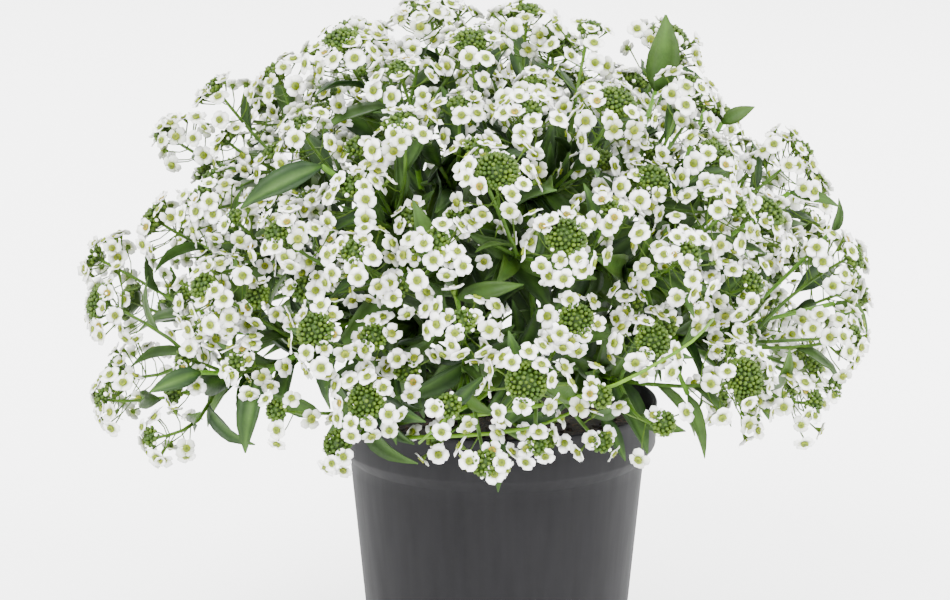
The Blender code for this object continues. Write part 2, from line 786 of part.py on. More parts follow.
def in_pot(point):
    """Whether a point is in the pot or its rim, or too near them for a leaf."""
    return math.hypot(point.x, point.y) < POT_RIM_RADIUS + POT_CLEARANCE and point.z < POT_HEIGHT + POT_CLEARANCE


def best_leaf(room, owner, base, way, length, width):
    """The leaf at one place on a branch that has most room round it, or none."""
    side = way.orthogonal().normalized()
    near = room.around(base, length * 2)
    best = None
    for lean in LEAF_LEANS:
        for k in range(LEAF_ROLLS):
            turn = Matrix.Rotation(math.tau * k / LEAF_ROLLS, 3, way)
            out = (way * math.cos(math.radians(lean)) + turn @ side * math.sin(math.radians(lean))).normalized()
            tip = base + out * length
            normal = (way - out * way.dot(out)).normalized()
            points = leaf_points(base, tip, width, normal)
            gap = 0 if any(map(in_pot, points)) else min(near.free(points, owner), LEAF_ENOUGH)
            if best is None or gap > best[0]:
                best = (gap, base, tip, width, normal)
    return best[1:] if best[0] > LEAF_CLEARANCE else None


def rule_leaves(room, stems):
    """The leaves of each stem, two on every branch, grown into the room between the heads."""
    draw = random.Random(LEAF_SEED)
    leaves = [[] for _ in stems]
    for number, paths in enumerate(stems):
        for k, path in enumerate(paths):
            for spot in LEAF_SPOTS:
                run = along_path(path[1:] if path is paths[0] else path, ROOM_STEP)
                here = min(int(spot * len(run)), len(run) - 2)
                way = (run[here + 1] - run[here]).normalized()
                length = draw.uniform(*LEAF_LENGTHS)
                width = length * draw.uniform(*LEAF_WIDTH_SHARE)
                leaf = best_leaf(room, branch_number(number, k), run[here], way, length, width)
                if leaf:
                    leaves[number].append(leaf)
                    room.add(leaf_points(*leaf), LEAF_THICKNESS, OWNER_LEAF)
    return leaves


def lone_leaf(room, stems, leaf):
    """The stem, twig and blade of a leaf that stands out by itself, moved a little where it must be."""
    steps = range(-LONE_SHIFTS_EACH_WAY, LONE_SHIFTS_EACH_WAY + 1)
    shifts = [Vector(shift) * LONE_SHIFT for shift in product(steps, steps, steps)]
    for shift in sorted(shifts, key=lambda shift: shift.length):
        root = Vector(leaf.root) + shift
        tip = Vector(leaf.tip) + shift
        normal = (root - HEART).normalized()
        if room.free(leaf_points(root, tip, leaf.width, normal), None) < LEAF_CLEARANCE:
            continue
        starts = []
        for number, paths in enumerate(stems):
            for k, path in enumerate(paths):
                run = along_path(path, ROOM_STEP)
                starts += [((root - start).length, number, k, start) for start in run[len(run) // 2:-1]]
        for length, number, k, start in sorted(starts, key=lambda choice: choice[0]):
            if length > TWIG_LONGEST:
                break
            if room.free(along_path([start, root], ROOM_STEP), branch_number(number, k)) > TWIG_RADIUS + FIT_GAP:
                return number, [start, root], (root, tip, leaf.width, normal)
    return None


def build_stem(number, paths, leaves, twigs, material):
    """One leafy stem with its branches, twigs and leaves, in one piece."""
    pieces = []
    for path in paths:
        way = (path[-1] - path[-2]).normalized()
        points = path[:-1] + [path[-1] - way * FIT_GAP]
        if path is paths[0]:
            radii = [STEM_FOOT_RADIUS] * 2 + [STEM_RADIUS] * (len(path) - 2)
        else:
            radii = [BRANCH_START_RADIUS] + [BRANCH_RADIUS] * (len(path) - 1)
        pieces.append(tube("branch", points, radii))
    for start, end in twigs:
        beyond = end + (end - start).normalized() * TWIG_SINK
        pieces.append(tube("twig", [start, beyond], [BRANCH_START_RADIUS, TWIG_RADIUS]))
    pieces += [blade(*leaf) for leaf in leaves]
    piece = add_object(f"leafy_stem_{number + 1}", pieces[0], material)
    combine(piece, pieces[1:], "UNION")
    return piece


def main():
    """Builds the pot, the soil, the leafy stems and the sprays of flowers."""
    clear_scene()
    build_pot(make_material("pot", POT_COLOUR, 0.55))
    build_soil(make_material("soil", SOIL_COLOUR, 0.95))
    front = front_heads()
    heads = front + back_heads(front)
    spots = settle(heads)
    sprays = share_out(spots)
    forks = find_forks(sprays, spots)
    sectors = [[] for _ in range(STEM_COUNT)]
    for k, fork in enumerate(forks):
        sectors[round(bearing_of(fork) * STEM_COUNT / 360) % STEM_COUNT].append(k)
    stems = []
    stalks = [None] * len(sprays)
    ways = [None] * len(sprays)
    for number, members in enumerate(sectors):
        members.sort(key=lambda k: forks[k].z)
        paths = stem_paths(number, [forks[k] for k in members])
        stems.append(paths)
        for k, path in zip([members[-1]] + members[:-1], paths):
            ways[k] = (path[-1] - path[-2]).normalized()
            stalks[k] = spray_paths(sprays[k], heads, spots, forks[k], ways[k])
    room = fill_room(heads, spots, sprays, stalks, stems)
    lone = [[] for _ in stems]
    twigs = [[] for _ in stems]
    for leaf in LONE_LEAVES:
        found = lone_leaf(room, stems, leaf)
        if found:
            number, twig, shape = found
            lone[number].append(shape)
            twigs[number].append(twig)
            room.add(leaf_points(*shape), LEAF_THICKNESS, OWNER_LEAF)
            room.add(along_path(twig, ROOM_STEP), TWIG_RADIUS, OWNER_TWIG)
    leaves = rule_leaves(room, stems)
    green = make_material("leafy_stem", LEAF_COLOUR, 0.5)
    for number, paths in enumerate(stems):
        build_stem(number, paths, lone[number] + leaves[number], twigs[number], green)
    white = make_material("spray", FLOWER_COLOUR, 0.6)
    templates = {florets: head_template(florets) for florets in PETAL_SIDE}
    for k, spray in enumerate(sprays):
        build_spray(k + 1, spray, heads, spots, stalks[k], ways[k], templates, white)


main()
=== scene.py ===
"""Looks of the potted sweet alyssum: its florets, bud domes, leaves, stems, soil and nursery pot.

The flower heads, forks, stems and leaves stand where the fixed model has them, because the plan below works
them out by the same rule. Sizes are in metres and angles in degrees. The front of the plant faces -Y.
"""

import logging
import math
import random
from collections.abc import Callable, Iterable, Sequence
from dataclasses import dataclass, field
from enum import Enum
from itertools import combinations, product

import bmesh
import bpy
import numpy as np
from mathutils import Matrix, Vector

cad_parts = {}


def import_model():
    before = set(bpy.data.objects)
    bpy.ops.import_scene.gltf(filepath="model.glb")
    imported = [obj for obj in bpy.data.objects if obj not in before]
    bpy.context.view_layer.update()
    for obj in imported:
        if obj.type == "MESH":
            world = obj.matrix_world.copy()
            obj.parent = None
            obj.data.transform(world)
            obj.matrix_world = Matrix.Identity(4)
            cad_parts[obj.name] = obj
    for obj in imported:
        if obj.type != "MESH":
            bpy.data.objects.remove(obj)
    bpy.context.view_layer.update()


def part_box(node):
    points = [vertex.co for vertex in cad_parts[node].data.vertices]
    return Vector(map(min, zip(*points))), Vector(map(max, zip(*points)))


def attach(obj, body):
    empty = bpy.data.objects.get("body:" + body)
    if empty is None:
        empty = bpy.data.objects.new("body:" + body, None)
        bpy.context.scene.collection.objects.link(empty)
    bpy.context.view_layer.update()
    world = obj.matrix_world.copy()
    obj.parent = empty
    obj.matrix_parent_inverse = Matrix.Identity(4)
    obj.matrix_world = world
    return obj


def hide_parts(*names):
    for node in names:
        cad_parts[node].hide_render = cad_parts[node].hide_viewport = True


LOG = logging.getLogger("alyssum")
UP = Vector((0.0, 0.0, 1.0))
HEART = Vector((-0.004, 0.0, 0.097))
GOLDEN_ANGLE = math.radians(137.508)
TINT = "tint"
BODY = "root"

Colour = tuple[float, float, float]
Path = list[Vector]


class Slot(Enum):
    """The record's material slots."""

    POT = "pot"
    SOIL = "soil"
    GREEN = "leafy_stem"
    FLOWER = "spray"


@dataclass(frozen=True)
class Head:
    """One flower head, seen from the plant's heart.

    Attributes:
        bearing: degrees from the front to the right.
        lift: degrees above level.
        reach: how far its middle is from the heart.
        radius: the radius of the head.
    """

    bearing: float
    lift: float
    reach: float
    radius: float

    def place(self) -> Vector:
        """Returns the head's middle before it is pushed clear of its neighbours."""
        return place(self.bearing, self.lift, self.reach)


@dataclass(frozen=True)
class LeafSeat:
    """Where a leaf grows: its root, its tip, its width and the way its upper face looks."""

    root: Vector
    tip: Vector
    width: float
    normal: Vector


@dataclass(frozen=True)
class Blade:
    """A leaf that stands out by itself: the places of its root and tip, and its width."""

    root: tuple[float, float, float]
    tip: tuple[float, float, float]
    width: float


@dataclass(frozen=True)
class LeafRule:
    """How leaves are set along every branch.

    Attributes:
        spots: shares of the branch's length where a leaf starts.
        lengths: the least and the greatest length.
        width_share: the least and the greatest width, as a share of the length.
        clearance: the least gap to everything else.
        rolls: how many directions round the branch are tried.
        seed: the seed of the rule's random draws.
    """

    spots: tuple[float, ...]
    lengths: tuple[float, float]
    width_share: tuple[float, float]
    clearance: float
    rolls: int
    seed: int


FRONT_HEADS = [
    Head(-88, 18, 0.128, 0.0110),
    Head(-73, 15, 0.127, 0.0130),
    Head(-65, 3, 0.127, 0.0110),
    Head(-54, 0, 0.122, 0.0095),
    Head(-80, 28, 0.117, 0.0120),
    Head(-93, 38, 0.127, 0.0120),
    Head(-64, 35, 0.116, 0.0120),
    Head(-85, 49, 0.125, 0.0120),
    Head(-73, 57, 0.121, 0.0110),
    Head(-47, 50, 0.117, 0.0115),
    Head(-47, 21, 0.118, 0.0135),
    Head(-35, 33, 0.118, 0.0125),
    Head(-43, 14, 0.110, 0.0100),
    Head(-34, 7, 0.108, 0.0100),
    Head(-27, 2, 0.100, 0.0095),
    Head(-25, 19, 0.117, 0.0120),
    Head(-56, 66, 0.122, 0.0130),
    Head(-50, 75, 0.122, 0.0110),
    Head(-27, 64, 0.117, 0.0110),
    Head(-12, 60, 0.113, 0.0100),
    Head(-2, 71, 0.117, 0.0120),
    Head(35, 77, 0.121, 0.0120),
    Head(42, 67, 0.121, 0.0120),
    Head(14, 65, 0.113, 0.0105),
    Head(46, 59, 0.115, 0.0110),
    Head(-26, 44, 0.114, 0.0110),
    Head(-21, 50, 0.117, 0.0115),
    Head(4, 43, 0.118, 0.0140),
    Head(10, 52, 0.117, 0.0125),
    Head(33, 53, 0.118, 0.0130),
    Head(37, 44, 0.113, 0.0110),
    Head(-21, 32, 0.116, 0.0120),
    Head(-6, 32, 0.116, 0.0115),
    Head(-3, 22, 0.114, 0.0120),
    Head(14, 34, 0.118, 0.0130),
    Head(25, 36, 0.114, 0.0110),
    Head(30, 28, 0.118, 0.0140),
    Head(-16, 11, 0.112, 0.0120),
    Head(-6, 13, 0.112, 0.0110),
    Head(5, 17, 0.116, 0.0130),
    Head(13, 21, 0.113, 0.0110),
    Head(18, 13, 0.112, 0.0110),
    Head(27, 9, 0.110, 0.0120),
    Head(28, 20, 0.114, 0.0115),
    Head(54, 52, 0.118, 0.0105),
    Head(52, 44, 0.118, 0.0110),
    Head(47, 37, 0.118, 0.0125),
    Head(60, 34, 0.118, 0.0120),
    Head(69, 37, 0.126, 0.0125),
    Head(71, 22, 0.127, 0.0145),
    Head(50, 27, 0.114, 0.0120),
    Head(40, 10, 0.117, 0.0145),
    Head(61, 12, 0.127, 0.0120),
    Head(53, 6, 0.122, 0.0120),
    Head(-12, -1, 0.071, 0.0078),
    Head(16, -2, 0.069, 0.0080),
]

# The pot: radius and height of each turn of its outline
POT_HEIGHT = 0.090
POT_BASE_RADIUS = 0.0395
POT_WALL_TOP_RADIUS = 0.0462
POT_BAND_LOW = 0.0765
POT_BAND_RADIUS = 0.0500
POT_RIM_RADIUS = 0.0504
POT_CHAMFER_LOW = 0.0725
POT_WALL = 0.0015
POT_FOOT_EDGE = 0.0008

# Heads on the far side, spread by the golden angle
BACK_POINTS = 84
BACK_LOW_LIFT = 0
BACK_HIGH_LIFT = 84
BACK_BEARING = 84
BACK_REACH = 0.116
BACK_REACH_VARIES = 0.007
BACK_RADII = (0.0120, 0.0145)
BACK_ROOM = -0.001
BACK_SEED = 11


SETTLE_ROUNDS = 80
REACH_AT_MOST = 0.1280
FACING_DROP = 0.022
ROOM = 1.02
ROOM_GAP = 0.0007
EYE_RING = 0.70
HEAD_FOOT = 0.60
SOIL_CROWN_HEIGHT = 0.0855
SOIL_EDGE_HEIGHT = 0.0830
# Stalks, branches and stems
PAIR_SPREAD = 0.036
FORK_BELOW_HEADS = 0.036
FORK_LOWEST = 0.099
FORK_ROOM = 0.0085
NECK = 0.004
STALK_RADIUS = 0.0010
STALK_BOW = 0.45
STEM_COUNT = 8
STEM_ROOT_RADIUS = 0.016
STEM_RADIUS = 0.0012
BRANCH_RADIUS = 0.0011
BRANCH_START_RADIUS = 0.0005
BRANCH_LOWEST = 0.05
BRANCH_HIGHEST = 0.75
BRANCH_BOW = 0.07
STEM_DEPTH = 0.006
STEM_LEAN = 0.002
STEM_RISE = 0.010
STEM_UPRIGHT = 0.0015
STEM_BOW = 0.12

# Who holds a point in the room that leaves grow into, beside the numbered stems
OWNER_SPRAY = -1
OWNER_LEAF = -2
OWNER_TWIG = -3
BRANCHES_AT_MOST = 100
FIT_GAP = 0.0003
MERGE_DISTANCE = 0.00001
ROOM_STEP = 0.002
HEAD_GUARD = 0.70
FLORET_GUARD = 0.36
FLORET_GUARD_DROP = 0.20
FLORET_GUARDS = 8

# Leaves
LEAF_THICKNESS = 0.0008
LEAF_LENGTHS = (0.019, 0.027)
LEAF_WIDTH_SHARE = (0.23, 0.30)
LEAF_SPOTS = (0.62, 0.93)
LEAF_LEANS = (30, 55)
LEAF_ROLLS = 12
LEAF_ARCH = 0.10
LEAF_OUTLINE = ((0.35, 0.48), (0.72, 0.42))
LEAF_JOINED = 0.12
LEAF_SAMPLES = 11
LEAF_CLEARANCE = 0.0012
LEAF_ENOUGH = 0.0030
POT_CLEARANCE = 0.0020
LEAF_SEED = 23

LONE_LEAVES = [
    Blade((0.048, -0.014, 0.190), (0.051, -0.014, 0.2135), 0.0086),
    Blade((0.068, -0.018, 0.181), (0.078, -0.018, 0.186), 0.0040),
    Blade((0.064, -0.010, 0.185), (0.055, -0.010, 0.198), 0.0036),
    Blade((0.109, -0.030, 0.153), (0.111, -0.032, 0.164), 0.0032),
    Blade((0.102, -0.034, 0.131), (0.112, -0.036, 0.122), 0.0072),
    Blade((0.090, -0.038, 0.163), (0.105, -0.040, 0.159), 0.0036),
    Blade((-0.070, -0.080, 0.118), (-0.074, -0.086, 0.097), 0.0060),
    Blade((-0.088, -0.062, 0.114), (-0.103, -0.066, 0.109), 0.0050),
    Blade((0.055, -0.080, 0.112), (0.060, -0.085, 0.094), 0.0034),
    Blade((0.000, -0.058, 0.0965), (0.000, -0.0615, 0.077), 0.0038),
    Blade((0.031, -0.054, 0.0985), (0.038, -0.059, 0.086), 0.0038),
    Blade((-0.049, -0.062, 0.176), (-0.073, -0.064, 0.164), 0.0066),
    Blade((-0.012, -0.086, 0.142), (0.007, -0.090, 0.147), 0.0048),
]
LONE_SHIFT = 0.0025
LONE_SHIFTS_EACH_WAY = 3
TWIG_RADIUS = 0.0008
TWIG_LONGEST = 0.050


def stem_root(stem: int) -> Vector:
    """The place on the ring of stems where one stem leaves the soil."""
    turn = math.tau * stem / STEM_COUNT
    return Vector((STEM_ROOT_RADIUS * math.sin(turn), -STEM_ROOT_RADIUS * math.cos(turn), SOIL_CROWN_HEIGHT))


def place(bearing: float, lift: float, reach: float) -> Vector:
    """A point seen from the middle of the plant."""
    turn = math.radians(bearing)
    rise = math.radians(lift)
    level = reach * math.cos(rise)
    return HEART + Vector((level * math.sin(turn), -level * math.cos(turn), reach * math.sin(rise)))


def bearing_of(point: Vector) -> float:
    """Bearing of a point from the front of the pot, from 0 to 360."""
    return math.degrees(math.atan2(point.x, -point.y)) % 360


def back_heads(front: list[Head]) -> list[Head]:
    """Heads that cover the far side evenly, wherever one has room."""
    draw = random.Random(BACK_SEED)
    low = math.sin(math.radians(BACK_LOW_LIFT))
    high = math.sin(math.radians(BACK_HIGH_LIFT))
    heads = []
    for k in range(BACK_POINTS):
        lift = math.degrees(math.asin(low + (high - low) * (k + 0.5) / BACK_POINTS))
        bearing = (k * math.degrees(GOLDEN_ANGLE)) % 360
        reach = BACK_REACH + draw.uniform(-BACK_REACH_VARIES, BACK_REACH_VARIES)
        head = Head(bearing, lift, reach, draw.uniform(*BACK_RADII))
        if not BACK_BEARING < bearing < 360 - BACK_BEARING:
            continue
        spot = head.place()
        near = (other for other in front + heads
                if (other.place() - spot).length < other.radius + head.radius + BACK_ROOM)
        if not any(near):
            heads.append(head)
    return heads


def settle(heads: list[Head]) -> list[Vector]:
    """Pushes heads apart until each has room for its florets, and returns their middles."""
    spots = [head.place() for head in heads]
    for _ in range(SETTLE_ROUNDS):
        for i, j in combinations(range(len(heads)), 2):
            apart = spots[j] - spots[i]
            short = (heads[i].radius + heads[j].radius) * ROOM + ROOM_GAP - apart.length
            if short > 0:
                push = apart.normalized() * short / 2
                spots[i] -= push
                spots[j] += push
        for k, spot in enumerate(spots):
            if (spot - HEART).length > REACH_AT_MOST:
                spots[k] = HEART + (spot - HEART).normalized() * REACH_AT_MOST
    return spots


def facing(spot: Vector) -> Vector:
    """The way a head looks: out from a point below the middle of the plant."""
    return (spot - HEART + UP * FACING_DROP).normalized()


def share_out(spots: list[Vector]) -> list[list[int]]:
    """Groups heads into sprays of two neighbours. A head left over joins the nearest spray."""
    def apart(i: int, j: int) -> float:
        return (spots[i] - spots[j]).length

    free = set(range(len(spots)))
    sprays = []
    for i, j in sorted(combinations(range(len(spots)), 2), key=lambda pair: apart(*pair)):
        if i in free and j in free and apart(i, j) < PAIR_SPREAD:
            sprays.append([i, j])
            free -= {i, j}
    for single in sorted(free):
        pairs = [spray for spray in sprays if len(spray) == 2]
        min(pairs, key=lambda spray: min(apart(single, other) for other in spray)).append(single)
    return sprays


def find_forks(sprays: list[list[int]], spots: list[Vector]) -> list[Vector]:
    """The place under each spray's heads where its stalks meet, clear of the other forks."""
    forks = []
    for spray in sprays:
        middle = sum((spots[i] for i in spray), Vector()) / len(spray)
        shortest = min((spots[i] - HEART).length for i in spray)
        fork = HEART + (middle - HEART).normalized() * (shortest - FORK_BELOW_HEADS)
        forks.append(Vector((fork.x, fork.y, max(fork.z, FORK_LOWEST))))
    for _ in range(SETTLE_ROUNDS):
        for i, j in combinations(range(len(forks)), 2):
            apart = forks[j] - forks[i]
            push = apart.normalized() * max(0.0, FORK_ROOM - apart.length) / 2
            forks[i] = forks[i] - push
            forks[j] = forks[j] + push
    return forks


def curve_points(start: Vector, control: Vector, end: Vector, count: int) -> Path:
    """Points along a bent line from start to end, pulled towards a control point."""
    points = []
    for k in range(count + 1):
        t = k / count
        points.append(start * (1 - t) ** 2 + control * 2 * t * (1 - t) + end * t ** 2)
    return points


def rounded(path: Path) -> Path:
    """The same path with its bends rounded."""
    points = [path[0]]
    for before, here, after in zip(path, path[1:], path[2:]):
        points += curve_points((before + here) / 2, here, (here + after) / 2, 2)
    return points + [path[-1]]


def tapered(ends: tuple[float, float], count: int) -> list[float]:
    """Radii that go evenly from one size towards another."""
    start, end = ends
    return [start + (end - start) * k / count for k in range(count)]


def head_foot(spot: Vector, radius: float) -> Vector:
    """The place under a head where its stalk begins."""
    return spot - facing(spot) * radius * HEAD_FOOT


def spray_paths(
    spray: list[int], heads: list[Head], spots: list[Vector], fork: Vector, way: Vector
) -> list[Path]:
    """The path of each stalk of a spray, from under its head to the neck below the fork."""
    joint = fork + way * NECK
    paths = []
    for i in spray:
        foot = head_foot(spots[i], heads[i].radius)
        control = foot - facing(spots[i]) * (foot - joint).length * STALK_BOW
        bend = curve_points(foot, control, joint, 2)[1]
        paths.append([bend, joint])
    paths[0].append(fork)
    return paths


def stem_paths(number: int, forks: list[Vector]) -> list[Path]:
    """The paths of one leafy stem: first the stem itself to its highest fork, then each branch."""
    root = stem_root(number)
    rise = root + Vector((root.x, root.y, 0.0)).normalized() * STEM_LEAN + UP * STEM_RISE
    highest = forks[-1]
    control = (rise + highest) / 2 + UP * (highest - rise).length * STEM_BOW
    paths = [[root - UP * STEM_DEPTH, root + UP * STEM_UPRIGHT, *curve_points(rise, control, highest, 3)]]
    for k, fork in enumerate(forks[:-1]):
        t = BRANCH_LOWEST + (BRANCH_HIGHEST - BRANCH_LOWEST) * k / max(1, len(forks) - 2)
        start = rise * (1 - t) ** 2 + control * 2 * t * (1 - t) + highest * t ** 2
        middle = (start + fork) / 2 + UP * (fork - start).length * BRANCH_BOW
        paths.append([start, middle, fork])
    return paths


def leaf_frame(root: Vector, tip: Vector, normal: Vector) -> tuple[Vector, Vector]:
    """Directions across and out of a leaf's face."""
    along = (tip - root).normalized()
    across = along.cross(normal).normalized()
    return across, across.cross(along).normalized()


def leaf_ring_points(
    root: Vector, tip: Vector, width: float, normal: Vector, share: float, half: float
) -> Path:
    """The middle of a leaf at a share of its length, with its two edges."""
    across, out = leaf_frame(root, tip, normal)
    top = (root + tip) / 2 + out * (tip - root).length * LEAF_ARCH * 2
    middle = root * (1 - share) ** 2 + top * 2 * share * (1 - share) + tip * share ** 2
    return [middle, middle + across * width * half, middle - across * width * half]


class Room:
    """Keeps what is already in the plant, so that each leaf can grow where there is room."""

    def __init__(self) -> None:
        self.points = np.zeros((0, 3))
        self.radii = np.zeros(0)
        self.owners = np.zeros(0, dtype=int)

    def add(self, points: Path, radius: float, owner: int) -> None:
        """Takes in a run of points with one radius."""
        self.points = np.vstack([self.points, np.array([tuple(point) for point in points])])
        self.radii = np.append(self.radii, np.full(len(points), radius))
        self.owners = np.append(self.owners, np.full(len(points), owner))

    def add_leaf(self, leaf: LeafSeat) -> None:
        """Takes in the blade of a leaf."""
        self.add(leaf_points(leaf.root, leaf.tip, leaf.width, leaf.normal), LEAF_THICKNESS, OWNER_LEAF)

    def around(self, middle: Vector, reach: float) -> "Room":
        """The same room, but only as far as a reach from one point."""
        near = np.linalg.norm(self.points - np.array(tuple(middle)), axis=1) < reach
        part = Room()
        part.points = self.points[near]
        part.radii = self.radii[near]
        part.owners = self.owners[near]
        return part

    def free(self, points: Path, owner: int | None) -> float:
        """The least gap from some points to anything that the owner doesn't hold."""
        others = np.full(len(self.owners), True) if owner is None else self.owners != owner
        away = np.array([tuple(point) for point in points])[:, None, :] - self.points[None, others, :]
        return float((np.linalg.norm(away, axis=2) - self.radii[None, others]).min(initial=1.0))


def along_path(points: Path, step: float) -> Path:
    """Points along a bent path, one step apart."""
    run = []
    for start, end in zip(points, points[1:]):
        count = max(1, math.ceil((end - start).length / step))
        run += [start.lerp(end, k / count) for k in range(count)]
    return run + [points[-1]]


def leaf_points(root: Vector, tip: Vector, width: float, normal: Vector) -> Path:
    """Points all over a leaf, past the bit that is joined to its branch."""
    points = []
    for k in range(LEAF_SAMPLES):
        share = LEAF_JOINED + (1 - LEAF_JOINED) * k / LEAF_SAMPLES
        points += leaf_ring_points(root, tip, width, normal, share, LEAF_OUTLINE[0][1])
    return points + [tip]


def branch_number(stem: int, branch: int) -> int:
    """One number for each branch of each stem."""
    return stem * BRANCHES_AT_MOST + branch


def fill_room(
    heads: list[Head], spots: list[Vector], sprays: list[list[int]],
    stalks: list[list[Path]], stems: list[list[Path]],
) -> Room:
    """Takes in every flower head, stalk and branch."""
    room = Room()
    for head, spot in zip(heads, spots):
        turn = UP.rotation_difference(facing(spot))
        ring = []
        for k in range(FLORET_GUARDS):
            angle = math.tau * k / FLORET_GUARDS
            spoke = Vector((math.cos(angle), math.sin(angle), -FLORET_GUARD_DROP))
            ring.append(spot + turn @ spoke * head.radius * EYE_RING)
        room.add([spot], head.radius * HEAD_GUARD, OWNER_SPRAY)
        room.add(ring, head.radius * FLORET_GUARD, OWNER_SPRAY)
    for spray, paths in zip(sprays, stalks):
        for i, path in zip(spray, paths):
            foot = head_foot(spots[i], heads[i].radius)
            room.add(along_path([foot, *path], ROOM_STEP), STALK_RADIUS, OWNER_SPRAY)
    for number, paths in enumerate(stems):
        for k, path in enumerate(paths):
            room.add(along_path(path, ROOM_STEP), BRANCH_RADIUS, branch_number(number, k))
    return room


def in_pot(point: Vector) -> bool:
    """Whether a point is in the pot or its rim, or too near them for a leaf."""
    out = math.hypot(point.x, point.y)
    return out < POT_RIM_RADIUS + POT_CLEARANCE and point.z < POT_HEIGHT + POT_CLEARANCE


def best_leaf(
    room: Room, owner: int, base: Vector, way: Vector, rule: LeafRule, draw: random.Random
) -> LeafSeat | None:
    """Finds the leaf at one place on a branch that has most room round it.

    Args:
        room: what is already in the plant.
        owner: the number of the branch, which the leaf may touch.
        base: where the leaf starts.
        way: the branch's direction there.
        rule: how large the leaf is and how near it may come to other things.
        draw: gives the leaf's length and width.

    Returns:
        The leaf, or None where no direction has room enough.
    """
    length = draw.uniform(*rule.lengths)
    width = length * draw.uniform(*rule.width_share)
    side = way.orthogonal().normalized()
    near = room.around(base, length * 2)
    best = None
    for lean in map(math.radians, LEAF_LEANS):
        for k in range(rule.rolls):
            turn = Matrix.Rotation(math.tau * k / rule.rolls, 3, way)
            out = (way * math.cos(lean) + turn @ side * math.sin(lean)).normalized()
            tip = base + out * length
            normal = (way - out * way.dot(out)).normalized()
            points = leaf_points(base, tip, width, normal)
            gap = 0 if any(map(in_pot, points)) else min(near.free(points, owner), LEAF_ENOUGH)
            if best is None or gap > best[0]:
                best = (gap, base, tip, width, normal)
    return LeafSeat(*best[1:]) if best[0] > rule.clearance else None


def rule_leaves(room: Room, stems: list[list[Path]], rule: LeafRule) -> list[list[LeafSeat]]:
    """Grows leaves on every branch, into the room between the heads.

    Args:
        room: what is already in the plant. The new leaves are added to it.
        stems: the paths of each stem.
        rule: where the leaves start and how large they are.

    Returns:
        The leaves of each stem.
    """
    draw = random.Random(rule.seed)
    leaves = [[] for _ in stems]
    for number, paths in enumerate(stems):
        for k, path in enumerate(paths):
            for spot in rule.spots:
                run = along_path(path[1:] if path is paths[0] else path, ROOM_STEP)
                here = min(int(spot * len(run)), len(run) - 2)
                way = (run[here + 1] - run[here]).normalized()
                leaf = best_leaf(room, branch_number(number, k), run[here], way, rule, draw)
                if leaf:
                    leaves[number].append(leaf)
                    room.add_leaf(leaf)
    return leaves


def lone_leaf(room: Room, stems: list[list[Path]], leaf: Blade) -> tuple[int, Path, LeafSeat] | None:
    """Seats a leaf that stands out by itself, moved a little where it must be.

    Args:
        room: what is already in the plant.
        stems: the paths of each stem.
        leaf: the leaf as the photograph shows it.

    Returns:
        The stem's number, the twig's path and the leaf, or None where nothing has room.
    """
    steps = range(-LONE_SHIFTS_EACH_WAY, LONE_SHIFTS_EACH_WAY + 1)
    shifts = [Vector(shift) * LONE_SHIFT for shift in product(steps, steps, steps)]
    for shift in sorted(shifts, key=lambda shift: shift.length):
        root = Vector(leaf.root) + shift
        tip = Vector(leaf.tip) + shift
        normal = (root - HEART).normalized()
        if room.free(leaf_points(root, tip, leaf.width, normal), None) < LEAF_CLEARANCE:
            continue
        starts = []
        for number, paths in enumerate(stems):
            for k, path in enumerate(paths):
                run = along_path(path, ROOM_STEP)
                starts += [((root - start).length, number, k, start) for start in run[len(run) // 2:-1]]
        for length, number, k, start in sorted(starts, key=lambda choice: choice[0]):
            if length > TWIG_LONGEST:
                break
            gap = room.free(along_path([start, root], ROOM_STEP), branch_number(number, k))
            if gap > TWIG_RADIUS + FIT_GAP:
                return number, [start, root], LeafSeat(root, tip, leaf.width, normal)
    return None


@dataclass(frozen=True)
class Sprig:
    """A small side head between the large ones.

    Attributes:
        spot: the middle of the head.
        radius: its radius.
        path: the bends of its stalk, from under the head to the fork.
    """

    spot: Vector
    radius: float
    path: Path


# How the looks add to the plan: sparser low heads, side sprigs and the turn of the lone leaves
NODE_TOLERANCE = 0.001
BATCH_VERTICES = 1500
OPEN_HEAD_RADIUS = 0.0125
OPEN_SHARE_LARGE = 0.75
OPEN_SHARE_SMALL = 0.25
CLOSED_DOME = 0.28
LOW_FRONT_HEIGHT = 0.125
LOW_FRONT_WIDTH = 0.065
LOW_FRONT_THINNED = 1.7
OWNER_NONE = -9
TO_THE_FRONT = (0.0, -1.3, 0.3)
LONE_LEAF_BREADTH = 1.2
STALK_RADII = (0.00046, 0.00072)
SHOOT_RADII = (0.0007, 0.0004)
PEDICEL_RADII = (0.00024, 0.00022, 0.00030)
SPRIG_POINTS = 420
SPRIG_SEED = 19
SPRIG_LOWEST = 0.02
SPRIG_REACH = (0.094, 0.117)
SPRIG_RADIUS = (0.0062, 0.0090)
SPRIG_ROOM = 0.80
SPRIG_LONGEST = 0.045
SPRIG_BOW = 0.4


